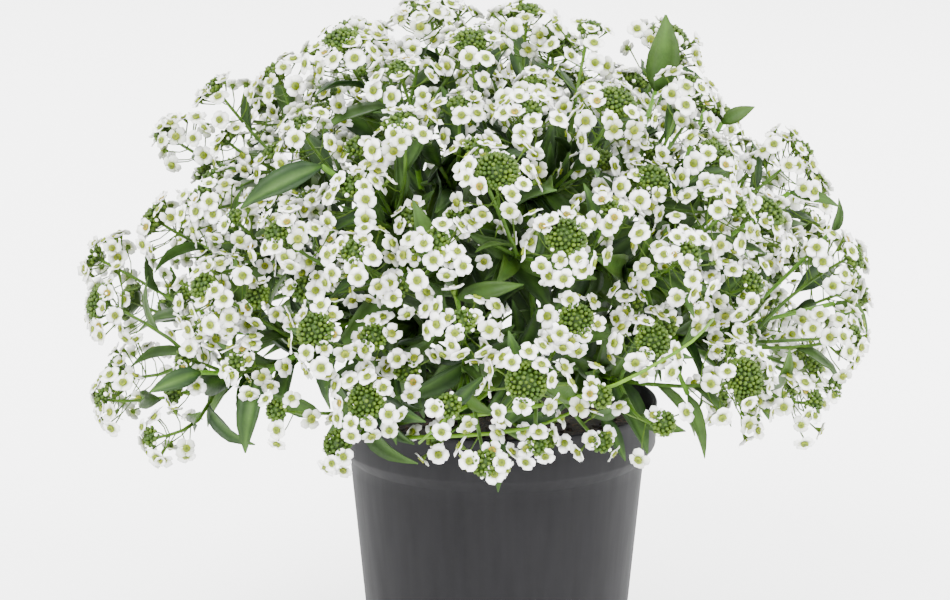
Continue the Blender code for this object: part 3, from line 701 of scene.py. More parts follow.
@dataclass
class PlantPlan:
    """Every head, fork, stalk, stem and leaf of the plant, worked out by the fixed model's own rule."""

    heads: list[Head] = field(default_factory=list)
    spots: list[Vector] = field(default_factory=list)
    sprays: list[list[int]] = field(default_factory=list)
    stalks: list[list[Path]] = field(default_factory=list)
    stems: list[list[Path]] = field(default_factory=list)
    leaves: list[list[LeafSeat]] = field(default_factory=list)
    twigs: list[list[Path]] = field(default_factory=list)
    sprigs: list[list[Sprig]] = field(default_factory=list)
    forks: list[Vector] = field(default_factory=list)
    stem_of: list[int] = field(default_factory=list)

    def work_out(self) -> None:
        """Fills the plan from the named heads and leaves."""
        self.heads = FRONT_HEADS + back_heads(FRONT_HEADS)
        self.spots = settle(self.heads)
        self.sprays = share_out(self.spots)
        self.forks = find_forks(self.sprays, self.spots)
        self.stem_of = [round(bearing_of(fork) * STEM_COUNT / 360) % STEM_COUNT for fork in self.forks]
        self.stalks = [[] for _ in self.sprays]
        for number in range(STEM_COUNT):
            members = [k for k, stem in enumerate(self.stem_of) if stem == number]
            members.sort(key=lambda k: self.forks[k].z)
            paths = stem_paths(number, [self.forks[k] for k in members])
            self.stems.append(paths)
            for k, path in zip([members[-1]] + members[:-1], paths):
                way = (path[-1] - path[-2]).normalized()
                self.stalks[k] = spray_paths(self.sprays[k], self.heads, self.spots, self.forks[k], way)
        self.grow_leaves()

    def grow_leaves(self) -> None:
        """Seats the lone leaves, then the fixed model's leaves, then the small ones that fill the inside."""
        room = fill_room(self.heads, self.spots, self.sprays, self.stalks, self.stems)
        self.leaves = [[] for _ in self.stems]
        self.twigs = [[] for _ in self.stems]
        for leaf in LONE_LEAVES:
            found = lone_leaf(room, self.stems, leaf)
            if found:
                number, twig, seat = found
                shown = (seat.root - HEART).normalized() + Vector(TO_THE_FRONT)
                breadth = seat.width * LONE_LEAF_BREADTH
                self.leaves[number].append(LeafSeat(seat.root, seat.tip, breadth, shown))
                self.twigs[number].append(twig)
                room.add_leaf(seat)
                room.add(along_path(twig, ROOM_STEP), TWIG_RADIUS, OWNER_TWIG)
        self.add_leaves(room, MODEL_LEAVES)
        self.scatter_sprigs(room)
        for rule in FILLING_LEAVES:
            self.add_leaves(room, rule)
        self.leaf_stalks(room, STALK_LEAVES)

    def add_leaves(self, room: Room, rule: LeafRule) -> None:
        """Seats the leaves of one rule."""
        for seats, more in zip(self.leaves, rule_leaves(room, self.stems, rule)):
            seats += more

    def leaf_stalks(self, room: Room, rule: LeafRule) -> None:
        """Seats small leaves on the stalks of the flower heads."""
        draw = random.Random(rule.seed)
        for number, (spray, paths) in enumerate(zip(self.sprays, self.stalks)):
            for i, path in zip(spray, paths):
                foot = head_foot(self.spots[i], self.heads[i].radius)
                run = along_path([*reversed(path), foot], ROOM_STEP)
                for spot in rule.spots:
                    here = min(int(spot * len(run)), len(run) - 2)
                    way = (run[here + 1] - run[here]).normalized()
                    seat = best_leaf(room, OWNER_NONE, run[here], way, rule, draw)
                    if seat and seat.tip.z > POT_HEIGHT:
                        self.leaves[self.stem_of[number]].append(seat)
                        room.add_leaf(seat)

    def scatter_sprigs(self, room: Room) -> None:
        """Puts small side sprigs of florets between the heads, each on the nearest fork."""
        draw = random.Random(SPRIG_SEED)
        self.sprigs = [[] for _ in self.sprays]
        for k in range(SPRIG_POINTS):
            rise = SPRIG_LOWEST + (1 - SPRIG_LOWEST) * (k + 0.5) / SPRIG_POINTS
            lift = math.degrees(math.asin(rise))
            spot = place(math.degrees(k * GOLDEN_ANGLE), lift, draw.uniform(*SPRIG_REACH))
            radius = draw.uniform(*SPRIG_RADIUS)
            nearest = min(range(len(self.forks)), key=lambda i: (self.forks[i] - spot).length)
            fork = self.forks[nearest]
            if room.free([spot], None) > radius * SPRIG_ROOM and (fork - spot).length < SPRIG_LONGEST:
                bend = (spot + fork) / 2 + (spot - HEART).normalized() * -radius * SPRIG_BOW
                self.sprigs[nearest].append(Sprig(spot, radius, [bend, fork]))
                room.add([spot], radius * SPRIG_ROOM, OWNER_SPRAY)

    def check_against(self, node: str, points: Iterable[Vector]) -> float:
        """Compares points of the plan with a fixed node.

        Args:
            node: the fixed node's name.
            points: places that have to lie in the node's box.

        Returns:
            The furthest that any point lies outside the box.
        """
        low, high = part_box(node)
        return max(max(low[k] - point[k], point[k] - high[k], 0.0) for point in points for k in range(3))


class Posy:
    """Gathers many placed copies of small closed meshes in one piece."""

    def __init__(self) -> None:
        self.done: list[bpy.types.Mesh] = []
        self.start_batch()

    def start_batch(self) -> None:
        """Begins an empty batch, as the operators work faster on a small mesh."""
        self.bm = bmesh.new()
        self.bm.verts.layers.float_color.new(TINT)

    def end_batch(self) -> None:
        """Sets the present batch aside."""
        mesh = bpy.data.meshes.new("batch")
        self.bm.to_mesh(mesh)
        self.bm.free()
        self.done.append(mesh)

    def stamp(self, form: bpy.types.Mesh, matrix: Matrix) -> None:
        """Adds a copy of a small mesh at a place."""
        copy = form.copy()
        copy.transform(matrix)
        self.bm.from_mesh(copy)
        bpy.data.meshes.remove(copy)

    def tube(self, points: Path, radii: Sequence[float], tints: Sequence[Colour], sides: int) -> None:
        """Adds a closed round tube along a path.

        Args:
            points: the middle line.
            radii: the radius at each point.
            tints: the colour at the start and at the end.
            sides: how many sides the tube has.
        """
        if len(self.bm.verts) > BATCH_VERTICES:
            self.end_batch()
            self.start_batch()
        start = (points[1] - points[0]).normalized()
        turn = UP.rotation_difference(start).to_matrix().to_4x4()
        made = bmesh.ops.create_circle(
            self.bm, cap_ends=True, segments=sides, radius=radii[0],
            matrix=Matrix.Translation(points[0]) @ turn,
        )
        layer = self.bm.verts.layers.float_color[TINT]
        face = made["verts"][0].link_faces[0]
        for vert in face.verts:
            vert[layer] = (*tints[0], 1.0)
        back = face.copy()
        back.normal_flip()
        spokes = [(vert.co - points[0]).normalized() for vert in face.verts]
        axis = start
        for k in range(1, len(points)):
            way = (points[k] - points[k - 1]).normalized()
            if k < len(points) - 1:
                way = (way + (points[k + 1] - points[k]).normalized()).normalized()
            turn = axis.rotation_difference(way)
            spokes = [turn @ spoke for spoke in spokes]
            axis = way
            face = bmesh.ops.extrude_discrete_faces(self.bm, faces=[face])["faces"][0]
            share = k / (len(points) - 1)
            tint = [a + (b - a) * share for a, b in zip(*tints)]
            for vert, spoke in zip(face.verts, spokes):
                vert.co = points[k] + spoke * radii[k]
                vert[layer] = (*tint, 1.0)

    def finish(self, name: str, slot: Slot, material: bpy.types.Material, nodes: Sequence[str] = ()) -> None:
        """Turns what was gathered into a piece of the part.

        Args:
            name: the piece's name.
            slot: the record's slot that it takes its finish from; not used.
            material: its material.
            nodes: the fixed nodes that it stands for.
        """
        self.end_batch()
        self.start_batch()
        for batch in self.done:
            self.bm.from_mesh(batch)
            bpy.data.meshes.remove(batch)
        bmesh.ops.recalc_face_normals(self.bm, faces=self.bm.faces)
        mesh = bpy.data.meshes.new(name)
        self.bm.to_mesh(mesh)
        self.bm.free()
        mesh.shade_smooth()
        add_piece(name, mesh, slot, material, nodes)


def add_piece(
    name: str, mesh: bpy.types.Mesh, slot: Slot, material: bpy.types.Material, nodes: Sequence[str] = ()
) -> bpy.types.Object:
    """Puts a finished mesh in the scene as a piece that rides on the part."""
    piece = bpy.data.objects.new(name, mesh)
    mesh.materials.clear()
    mesh.materials.append(material)
    bpy.context.scene.collection.objects.link(piece)
    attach(piece, BODY)
    if nodes:
        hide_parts(*nodes)
    LOG.info("%s: %d faces", name, len(mesh.polygons))
    return piece


def small_mesh(name: str, bm: bmesh.types.BMesh, tint: Callable[[Vector], Colour]) -> bpy.types.Mesh:
    """Closes a small form and colours each of its corners by its place."""
    bmesh.ops.recalc_face_normals(bm, faces=bm.faces)
    layer = bm.verts.layers.float_color.new(TINT)
    for vert in bm.verts:
        vert[layer] = (*tint(vert.co), 1.0)
    mesh = bpy.data.meshes.new(name)
    bm.to_mesh(mesh)
    bm.free()
    return mesh


def mixed(first: Colour, second: Colour, share: float) -> Colour:
    """A colour part of the way from one to another."""
    share = min(max(share, 0.0), 1.0)
    return tuple(a + (b - a) * share for a, b in zip(first, second))


def stood(place: Vector, way: Vector, roll: float, size: float | Vector) -> Matrix:
    """The matrix that stands a form up along a direction.

    Args:
        place: where its origin goes.
        way: where its own up goes.
        roll: its turn round that direction, in radians.
        size: one scale, or one for each of its own axes.

    Returns:
        The whole placing matrix.
    """
    scale = Vector((size, size, size)) if isinstance(size, float) else size
    turn = UP.rotation_difference(way).to_matrix().to_4x4() @ Matrix.Rotation(roll, 4, UP)
    return Matrix.Translation(place) @ turn @ Matrix.Diagonal((*scale, 1.0))


@dataclass(frozen=True)
class Palette:
    """Colours of the plant, as the light-linear values of its finishes."""

    petal: Colour = (0.94, 0.94, 0.93)
    # Painted shade: the grey that the petals are mixed towards.
    petal_shade: Colour = (0.33, 0.35, 0.29)
    petal_root: Colour = (0.34, 0.42, 0.08)
    eye: Colour = (0.185, 0.245, 0.0015)
    eye_middle: Colour = (0.026, 0.048, 0.001)
    anther: Colour = (0.20, 0.21, 0.004)
    fresh: Colour = (0.42, 0.19, 0.012)
    bud: Colour = (0.024, 0.056, 0.0024)
    bud_light: Colour = (0.058, 0.102, 0.0045)
    bud_core: Colour = (0.018, 0.044, 0.0020)
    calyx: Colour = (0.050, 0.095, 0.006)
    stalk: Colour = (0.050, 0.108, 0.005)
    stalk_low: Colour = (0.028, 0.072, 0.004)
    stem: Colour = (0.052, 0.135, 0.004)
    shoot: Colour = (0.065, 0.145, 0.003)
    # Painted shade and light: the first leaf green below is a leaf in shade, the second a leaf in light; the
    # rib green is the leaf's own.
    leaf: Colour = (0.0050, 0.0215, 0.0026)
    leaf_painted_light: Colour = (0.0300, 0.0680, 0.0040)
    leaf_rib: Colour = (0.0300, 0.0740, 0.0080)


PALETTE = Palette()


@dataclass(frozen=True)
class FloretForm:
    """One floret of unit radius, which looks up.

    Attributes:
        cup: how far the petals stand up.
        droop: how far their tips bend back.
        width: the breadth of a petal, against the usual one.
        crooked: how much the petals differ from each other.
        middle: the colour of the ring of anthers.
        shade: how much painted shade greys the petals, from 0 to 1, more of it towards the floret's middle.
        seed: the seed of the random draws.
    """

    cup: float
    droop: float
    width: float
    crooked: float
    middle: Colour
    shade: float
    seed: int
    half_widths: tuple[float, ...] = (0.17, 0.52, 0.43)
    root: float = 0.20
    thickness: float = 0.045
    eye_radius: float = 0.37

    def petals(self) -> bpy.types.Mesh:
        """Returns the mesh of the four petals."""
        draw = random.Random(self.seed)
        bm = bmesh.new()
        for k in range(4):
            before = len(bm.verts)
            grid = bmesh.ops.create_grid(bm, x_segments=2, y_segments=2, size=1.0)["verts"]
            length = 1.0 - draw.uniform(0.0, self.crooked)
            lift = self.cup + draw.uniform(-self.crooked, self.crooked)
            for vert in grid:
                across, along = vert.co.x, (vert.co.y + 1) / 2
                half = self.half_widths[round(along * 2)] * self.width
                reach = self.root + (length - self.root) * (along - 0.20 * across * across * along)
                rise = lift * along * along - self.droop * along ** 4 + 0.10 * across * across * along
                vert.co = (half * across, reach, rise)
            faces = list({face for vert in grid for face in vert.link_faces})
            bmesh.ops.solidify(bm, geom=faces, thickness=self.thickness)
            bm.verts.ensure_lookup_table()
            turn = Matrix.Rotation(math.tau * (k / 4 + draw.uniform(-0.02, 0.02)), 4, UP)
            bmesh.ops.transform(bm, matrix=turn, verts=bm.verts[before:])

        def tint(place: Vector) -> Colour:
            far = math.hypot(place.x, place.y)
            # Painted shade: the petals are greyed by the form's shade, more towards the floret's middle.
            white = mixed(PALETTE.petal, PALETTE.petal_shade, self.shade * (1.1 - 0.5 * far))
            return mixed(PALETTE.petal_root, white, (far - self.root) / 0.22)

        return small_mesh("petals", bm, tint)

    def middle_mesh(self) -> bpy.types.Mesh:
        """Returns the mesh of the eye with its ring of anthers, and of the calyx under it."""
        bm = bmesh.new()
        bmesh.ops.create_cone(
            bm, cap_ends=True, segments=8, radius1=0.24, radius2=self.eye_radius, depth=0.24
        )
        bmesh.ops.translate(bm, verts=bm.verts, vec=(0, 0, 0.03))
        top = max(bm.faces, key=lambda face: face.calc_center_median().z)
        for k, vert in enumerate(top.verts):
            vert.co.z += 0.10 if k % 2 else 0.0
            vert.co.xy *= 0.92 if k % 2 else 1.0
        bmesh.ops.poke(bm, faces=[top], offset=0.02)
        bmesh.ops.create_cone(
            bm, cap_ends=True, segments=4, radius1=0.10, radius2=0.27, depth=0.42,
            matrix=Matrix.Translation((0, 0, -0.30)),
        )

        def tint(place: Vector) -> Colour:
            if place.z < -0.06:
                return PALETTE.calyx
            share = (math.hypot(place.x, place.y) / self.eye_radius) ** 2
            ring = self.middle if place.z > 0.2 else PALETTE.eye
            return mixed(PALETTE.eye_middle, ring, share)

        return small_mesh("middle", bm, tint)


@dataclass(frozen=True)
class FloretKind:
    """A floret's two meshes, ready to be copied."""

    petals: bpy.types.Mesh
    middle: bpy.types.Mesh


def floret_kinds(lift: float, shade: float, middle: Colour) -> list[FloretKind]:
    """Makes the florets of one age, each a little different.

    Args:
        lift: how far the petals still stand up.
        shade: the most painted shade that greys the petals, from 0 to 1.
        middle: the colour of the anthers of some of them.
    """
    forms = [
        FloretForm(lift, 0.05, 0.98, 0.08, PALETTE.eye, 0.1 * shade, 1),
        FloretForm(lift + 0.12, 0.02, 0.92, 0.12, middle, 0.5 * shade, 2),
        FloretForm(lift - 0.05, 0.10, 1.04, 0.14, PALETTE.eye, 0.25 * shade, 3),
        FloretForm(lift + 0.08, 0.20, 0.96, 0.18, PALETTE.eye, 0.7 * shade, 4),
        FloretForm(lift * 2.4 - 0.1, 0.05, 0.86, 0.14, PALETTE.anther, shade, 5),
        FloretForm(lift, 0.02, 1.00, 0.10, PALETTE.eye, 0.3 * shade, 6),
    ]
    return [FloretKind(form.petals(), form.middle_mesh()) for form in forms]


def bud_mesh(tip: Colour, base: Colour, length: float) -> bpy.types.Mesh:
    """One closed bud of unit width, with its own length along up."""
    bm = bmesh.new()
    bmesh.ops.create_icosphere(bm, subdivisions=1, radius=0.5)
    bmesh.ops.scale(bm, verts=bm.verts, vec=(1.0, 1.0, length))
    return small_mesh("bud", bm, lambda place: mixed(base, tip, place.z / length + 0.5))


@dataclass(frozen=True)
class Whorl:
    """A ring of florets on a head.

    Attributes:
        radius: the ring's radius, as a part of the head's.
        height: how high it sits over the head's middle, as a part of the head's radius.
        tilt: how far its florets lean out, in degrees.
        fullness: how closely the florets follow each other.
        missing: the share of florets that have dropped.
        size: the florets' size, against the usual one.
    """

    radius: float
    height: float
    tilt: float
    fullness: float
    missing: float
    size: float


LOWER_WHORLS = (
    Whorl(0.84, -0.75, 76, 0.62, 0.58, 1.02),
    Whorl(0.74, -1.30, 86, 0.46, 0.66, 0.96),
    Whorl(0.60, -1.95, 94, 0.34, 0.70, 0.90),
)
OPEN_WHORLS = (
    Whorl(0.59, -0.05, 30, 0.94, 0.20, 0.94),
    Whorl(0.88, -0.28, 56, 0.88, 0.30, 1.06),
    *LOWER_WHORLS,
)
CLOSED_WHORLS = (
    Whorl(0.40, 0.02, 18, 0.95, 0.32, 0.92),
    Whorl(0.66, -0.10, 36, 0.85, 0.40, 1.02),
    Whorl(0.92, -0.38, 60, 0.78, 0.42, 1.06),
    *LOWER_WHORLS,
)
SPRIG_WHORLS = (
    Whorl(0.55, -0.05, 26, 0.90, 0.34, 0.96),
    Whorl(0.95, -0.60, 60, 0.66, 0.42, 1.04),
    Whorl(0.90, -1.50, 80, 0.46, 0.60, 1.00),
)
SHADED_FROM = 3


@dataclass
class FlowerHead:
    """A dome of buds on a stalk, with rings of florets round and below it.

    Attributes:
        spot: the middle of the head.
        radius: its radius.
        path: the bends of its stalk, down to the fork.
        draw: the head's own random draws.
        whorls: its rings of florets, from the top down.
        floret_radius: the usual radius of a floret.
        dome: the radius of the dome of buds, as a part of the head's.
        dome_height: the height of the dome, as a part of its radius.
        bud_pitch: the distance between buds.
        bud_size: the length of a bud.
        thinned: how much more florets are missing than usual.
        look: the way the head looks.
        axes: two directions across it.
    """

    spot: Vector
    radius: float
    path: Path
    draw: random.Random
    whorls: tuple[Whorl, ...] = OPEN_WHORLS
    floret_radius: float = 0.00335
    dome: float = 0.42
    dome_height: float = 0.62
    bud_pitch: float = 0.00091
    bud_size: float = 0.00156
    thinned: float = 1.0
    look: Vector = field(init=False)
    axes: tuple[Vector, Vector] = field(init=False)

    def __post_init__(self) -> None:
        """Works out which way the head looks."""
        self.look = facing(self.spot)
        side = self.look.orthogonal().normalized()
        self.axes = (side, self.look.cross(side))

    def dress(self, white: Posy, green: Posy, forms: "Forms") -> None:
        """Adds the whole head: stalk, buds and florets.

        Args:
            white: takes the petals.
            green: takes everything else.
            forms: the small meshes to copy.
        """
        self.stalk(green)
        self.buds(white, green, forms)
        for number, whorl in enumerate(self.whorls):
            self.ring(whorl, number, white, green, forms)

    def around(self, angle: float) -> Vector:
        """The direction out from the head's axis at an angle."""
        return self.axes[0] * math.cos(angle) + self.axes[1] * math.sin(angle)

    def on_axis(self, height: float) -> Vector:
        """The point of the head's axis or of its stalk at a height over the head's middle."""
        start = -HEAD_FOOT * self.radius
        if height >= start:
            return self.spot + self.look * height
        left = start - height
        line = [head_foot(self.spot, self.radius), *self.path]
        for here, after in zip(line, line[1:]):
            run = (after - here).length
            if left < run:
                return here.lerp(after, left / run)
            left -= run
        return line[-1].copy()

    def stalk(self, green: Posy) -> None:
        """Adds the stalk, smooth from under the dome to the fork."""
        foot = head_foot(self.spot, self.radius)
        line = [self.spot - self.look * self.radius * 0.1, foot, *self.path]
        points = rounded(line)
        green.tube(points, tapered(STALK_RADII, len(points)), (PALETTE.stalk, PALETTE.stalk_low), 5)

    def buds(self, white: Posy, green: Posy, forms: "Forms") -> None:
        """Adds the dome of buds, small and dark in the middle and about to open at its edge."""
        reach = self.dome * self.radius
        middle = self.spot - self.look * reach * 0.30
        core = Vector((reach * 1.8, reach * 1.8, reach * self.dome_height * 2.0))
        green.stamp(forms.core, stood(middle, self.look, 0.0, core))
        count = round(3.2 * (reach / self.bud_pitch) ** 2)
        for k in range(count):
            share = (k + 0.5) / count
            lean = math.radians(100) * math.sqrt(share)
            side = self.around(k * GOLDEN_ANGLE) * math.sin(lean)
            place = middle + (self.look * math.cos(lean) * self.dome_height + side) * reach
            place += self.look * self.draw.uniform(-0.0003, 0.0002)
            size = self.bud_size * self.draw.uniform(0.80, 1.12) * (0.85 + 0.15 * share)
            bud = self.draw.choice(forms.buds)
            green.stamp(bud, stood(place, (side + self.look).normalized(), 0.0, size))
        opening = round(5 * self.radius / 0.012)
        for k in range(opening):
            angle = math.tau * (k + self.draw.uniform(-0.3, 0.3)) / opening
            out = (self.look + self.around(angle) * self.draw.uniform(0.7, 1.2)).normalized()
            place = middle + self.around(angle) * reach * 1.10 + self.look * reach * 0.12
            white.stamp(forms.opening, stood(place, out, 0.0, self.draw.uniform(0.0011, 0.0015)))

    def ring(self, whorl: Whorl, number: int, white: Posy, green: Posy, forms: "Forms") -> None:
        """Adds one ring of florets with the thin stalk of each."""
        full = math.tau * whorl.radius * self.radius / (self.floret_radius * 1.72) * whorl.fullness
        count = max(3, round(full))
        kinds = forms.of_ring(number)
        start = self.draw.uniform(0, math.tau)
        for k in range(count):
            angle = start + math.tau * (k + self.draw.uniform(-0.32, 0.32)) / count
            out = self.around(angle)
            height = (whorl.height + self.draw.uniform(-0.16, 0.14)) * self.radius
            reach = whorl.radius * self.radius * self.draw.uniform(0.78, 1.12)
            place = self.on_axis(height) + out * reach
            tilt = math.radians(whorl.tilt + self.draw.uniform(-24, 24))
            if self.draw.random() < whorl.missing * self.thinned:
                continue
            lean = self.around(angle + self.draw.uniform(-0.5, 0.5))
            front = self.look * math.cos(tilt) + lean * math.sin(tilt)
            size = self.floret_radius * whorl.size * self.draw.uniform(0.86, 1.06)
            roll = self.draw.uniform(0, math.tau)
            kind = self.draw.choice(kinds)
            matrix = stood(place, front.normalized(), roll, size)
            white.stamp(kind.petals, matrix)
            green.stamp(kind.middle, matrix)
            foot = self.on_axis(height - self.radius * 0.42)
            end = place - front.normalized() * size * 0.48
            bow = (foot + end) / 2 - self.look * self.radius * 0.10 + out * self.radius * 0.06
            pedicel = curve_points(foot, bow, end, 2)
            green.tube(pedicel, PEDICEL_RADII, (PALETTE.stalk, PALETTE.calyx), 3)


@dataclass(frozen=True)
class LeafForm:
    """A leaf of unit length and width, which grows along Y and looks up.

    Attributes:
        twist: how far the blade turns towards its tip.
        wave: how wavy its edges are.
        fold: how far its halves stand up from the rib.
        light: how far its green goes from painted shade towards painted light, from 0 to 1.
        columns: faces across it.
        rows: faces along it.
    """

    twist: float
    wave: float
    fold: float
    light: float
    columns: int = 4
    rows: int = 6

    def mesh(self) -> bpy.types.Mesh:
        """Returns the closed mesh of the leaf."""
        bm = bmesh.new()
        grid = bmesh.ops.create_grid(bm, x_segments=self.columns, y_segments=self.rows, size=1.0)["verts"]
        for vert in grid:
            across, along = vert.co.x, (vert.co.y + 1) / 2
            half = 0.5 * (0.12 * (1 - along) + math.sin(math.pi * along ** 0.82) ** 0.85) * (1 - 0.12 * along)
            half = max(half, 0.03)
            turn = self.twist * (along - 0.3)
            rise = LEAF_ARCH * 4 * along * (1 - along) + self.wave * 0.02 * math.sin(along * 11) * abs(across)
            lift = self.fold * abs(across) * half * 0.2
            out = half * across
            vert.co = (out * math.cos(turn), along, rise + lift + out * math.sin(turn) * 0.25)
        bmesh.ops.solidify(bm, geom=list(bm.faces), thickness=0.012)

        def tint(place: Vector) -> Colour:
            # Painted light: the blade goes from the painted-shade green towards the painted-light green by
            # the form's light, and more so towards its tip.
            blade = mixed(PALETTE.leaf, PALETTE.leaf_painted_light, self.light + 0.25 * place.y)
            return mixed(PALETTE.leaf_rib, blade, abs(place.x) / 0.06)

        return small_mesh("leaf", bm, tint)


@dataclass
class Forms:
    """All the small meshes that are copied many times."""

    young: list[FloretKind] = field(default_factory=lambda: floret_kinds(0.16, 0.5, PALETTE.fresh))
    old: list[FloretKind] = field(default_factory=lambda: floret_kinds(0.04, 1.0, PALETTE.anther))
    shaded: list[FloretKind] = field(default_factory=lambda: floret_kinds(-0.02, 1.3, PALETTE.anther))
    buds: list[bpy.types.Mesh] = field(default_factory=list)
    leaves: list[bpy.types.Mesh] = field(default_factory=list)

    def of_ring(self, number: int) -> list[FloretKind]:
        """The florets of a ring: fresh at the top with lighter painted shade, older below with more, and the
        most painted shade on the stalk.
        """
        if number == 0:
            return self.young
        return self.old if number < SHADED_FROM else self.shaded

    def __post_init__(self) -> None:
        """Makes the buds and the leaves."""
        for share in (0.0, 0.3, 0.6, 1.0):
            tip = mixed(PALETTE.bud, PALETTE.bud_light, share)
            self.buds.append(bud_mesh(tip, PALETTE.bud_core, 1.25 + 0.3 * share))
        self.opening = bud_mesh(PALETTE.petal, PALETTE.petal_root, 1.5)
        self.core = bud_mesh(PALETTE.bud_core, PALETTE.bud_core, 0.9)
        # The forms differ in painted light, from a leaf in shade (0.0) to a mostly lit one (0.8).
        leaf_forms = [
            LeafForm(twist=0.0, wave=0.4, fold=1.0, light=0.1),
            LeafForm(twist=0.5, wave=1.0, fold=0.7, light=0.5),
            LeafForm(twist=-0.5, wave=0.8, fold=1.2, light=0.3),
            LeafForm(twist=0.2, wave=0.2, fold=0.5, light=0.8),
            LeafForm(twist=-0.2, wave=1.0, fold=0.9, light=0.0),
        ]
        self.leaves = [form.mesh() for form in leaf_forms]


class Finish:
    """A procedural material on the Principled shader."""

    def __init__(self, name: str, roughness: float) -> None:
        self.material = bpy.data.materials.new(name)
        self.material.use_nodes = True
        self.tree = self.material.node_tree
        self.shader = self.tree.nodes["Principled BSDF"]
        self.shader.inputs["Roughness"].default_value = roughness
        self.place = self.tree.nodes.new("ShaderNodeTexCoord").outputs["Object"]

    def stretched(self, scale: tuple[float, float, float]) -> bpy.types.NodeSocket:
        """The object's own coordinates, stretched along each axis."""
        mapping = self.tree.nodes.new("ShaderNodeMapping")
        mapping.inputs["Scale"].default_value = scale
        self.tree.links.new(self.place, mapping.inputs["Vector"])
        return mapping.outputs["Vector"]

    def noise(self, vector: bpy.types.NodeSocket, scale: float, detail: float = 3.0) -> bpy.types.NodeSocket:
        """A noise value between 0 and 1."""
        node = self.tree.nodes.new("ShaderNodeTexNoise")
        node.inputs["Scale"].default_value = scale
        node.inputs["Detail"].default_value = detail
        self.tree.links.new(vector, node.inputs["Vector"])
        return node.outputs["Fac"]

    def ramp(
        self, value: bpy.types.NodeSocket, stops: Sequence[tuple[float, Colour]]
    ) -> bpy.types.NodeSocket:
        """A colour ramp over a value."""
        node = self.tree.nodes.new("ShaderNodeValToRGB")
        elements = node.color_ramp.elements
        for k, (place, colour) in enumerate(stops):
            element = elements[k] if k < 2 else elements.new(place)
            element.position = place
            element.color = (*colour, 1.0)
        self.tree.links.new(value, node.inputs["Fac"])
        return node.outputs["Color"]

    def blend(self, kind: str, share: float, first: bpy.types.NodeSocket,
              second: bpy.types.NodeSocket) -> bpy.types.NodeSocket:
        """Two colours blended by a kind such as MULTIPLY."""
        node = self.tree.nodes.new("ShaderNodeMix")
        node.data_type = "RGBA"
        node.blend_type = kind
        node.inputs["Factor"].default_value = share
        self.tree.links.new(first, node.inputs["A"])
        self.tree.links.new(second, node.inputs["B"])
        return node.outputs["Result"]

    def tint(self) -> bpy.types.NodeSocket:
        """The colour that a mesh carries at each corner."""
        node = self.tree.nodes.new("ShaderNodeAttribute")
        node.attribute_name = TINT
        return node.outputs["Color"]

    def colour(self, socket: bpy.types.NodeSocket) -> None:
        """Sets the base colour."""
        self.tree.links.new(socket, self.shader.inputs["Base Color"])

    def roughness(self, value: bpy.types.NodeSocket, low: float, high: float) -> None:
        """Lets the roughness vary between two values."""
        node = self.tree.nodes.new("ShaderNodeMapRange")
        node.inputs["To Min"].default_value = low
        node.inputs["To Max"].default_value = high
        self.tree.links.new(value, node.inputs["Value"])
        self.tree.links.new(node.outputs["Result"], self.shader.inputs["Roughness"])

    def bump(self, height: bpy.types.NodeSocket, distance: float, strength: float) -> None:
        """Raises the surface a little by a height."""
        node = self.tree.nodes.new("ShaderNodeBump")
        node.inputs["Distance"].default_value = distance
        node.inputs["Strength"].default_value = strength
        self.tree.links.new(height, node.inputs["Height"])
        self.tree.links.new(node.outputs["Normal"], self.shader.inputs["Normal"])


def petal_finish() -> bpy.types.Material:
    """White petals, a little greyer here and there, greyed further by the painted shade in the mesh colours,
    and green at their roots.
    """
    finish = Finish("white_petals", 0.62)
    patches = finish.ramp(
        finish.noise(finish.place, 260.0), ((0.30, (0.86, 0.86, 0.84)), (0.62, (1.0, 1.0, 1.0)))
    )
    finish.colour(finish.blend("MULTIPLY", 1.0, finish.tint(), patches))
    finish.bump(finish.noise(finish.place, 1500.0, 2.0), 0.0001, 0.35)
    finish.shader.inputs["Subsurface Weight"].default_value = 0.12
    finish.shader.inputs["Subsurface Radius"].default_value = (0.0012, 0.0012, 0.0009)
    finish.shader.inputs["Specular IOR Level"].default_value = 0.30
    return finish.material


def greenery_finish(name: str, roughness: float, grain: float) -> bpy.types.Material:
    """Living green of a mesh's own colours.

    Args:
        name: the material's name.
        roughness: its middle roughness.
        grain: the scale of its mottling.

    Returns:
        The material.
    """
    finish = Finish(name, roughness)
    finish.shader.inputs["Specular IOR Level"].default_value = 0.22
    mottle = finish.ramp(
        finish.noise(finish.place, grain), ((0.28, (0.62, 0.66, 0.55)), (0.70, (1.22, 1.18, 1.1)))
    )
    finish.colour(finish.blend("MULTIPLY", 1.0, finish.tint(), mottle))
    fine = finish.noise(finish.place, grain * 7, 2.0)
    finish.roughness(fine, roughness - 0.10, roughness + 0.12)
    finish.bump(fine, 0.0002, 0.40)
    finish.shader.inputs["Subsurface Weight"].default_value = 0.06
    finish.shader.inputs["Subsurface Radius"].default_value = (0.0006, 0.0012, 0.0003)
    return finish.material


def pot_finish() -> bpy.types.Material:
    """Dark grey moulded plastic with faint upright streaks, dust and rubbed spots."""
    finish = Finish("pot_plastic", 0.42)
    streaks = finish.noise(finish.stretched((1.0, 1.0, 0.035)), 420.0, 4.0)
    clouds = finish.noise(finish.place, 26.0, 4.0)
    body = finish.ramp(streaks, ((0.30, (0.0042, 0.0041, 0.0048)), (0.72, (0.0056, 0.0055, 0.0065))))
    dust = finish.ramp(clouds, ((0.35, (0.86, 0.86, 0.88)), (0.75, (1.16, 1.15, 1.14))))
    finish.colour(finish.blend("MULTIPLY", 0.8, body, dust))
    finish.roughness(finish.noise(finish.stretched((1.0, 1.0, 0.10)), 240.0, 3.0), 0.58, 0.76)
    finish.bump(streaks, 0.0002, 0.22)
    finish.shader.inputs["Specular IOR Level"].default_value = 0.15
    return finish.material


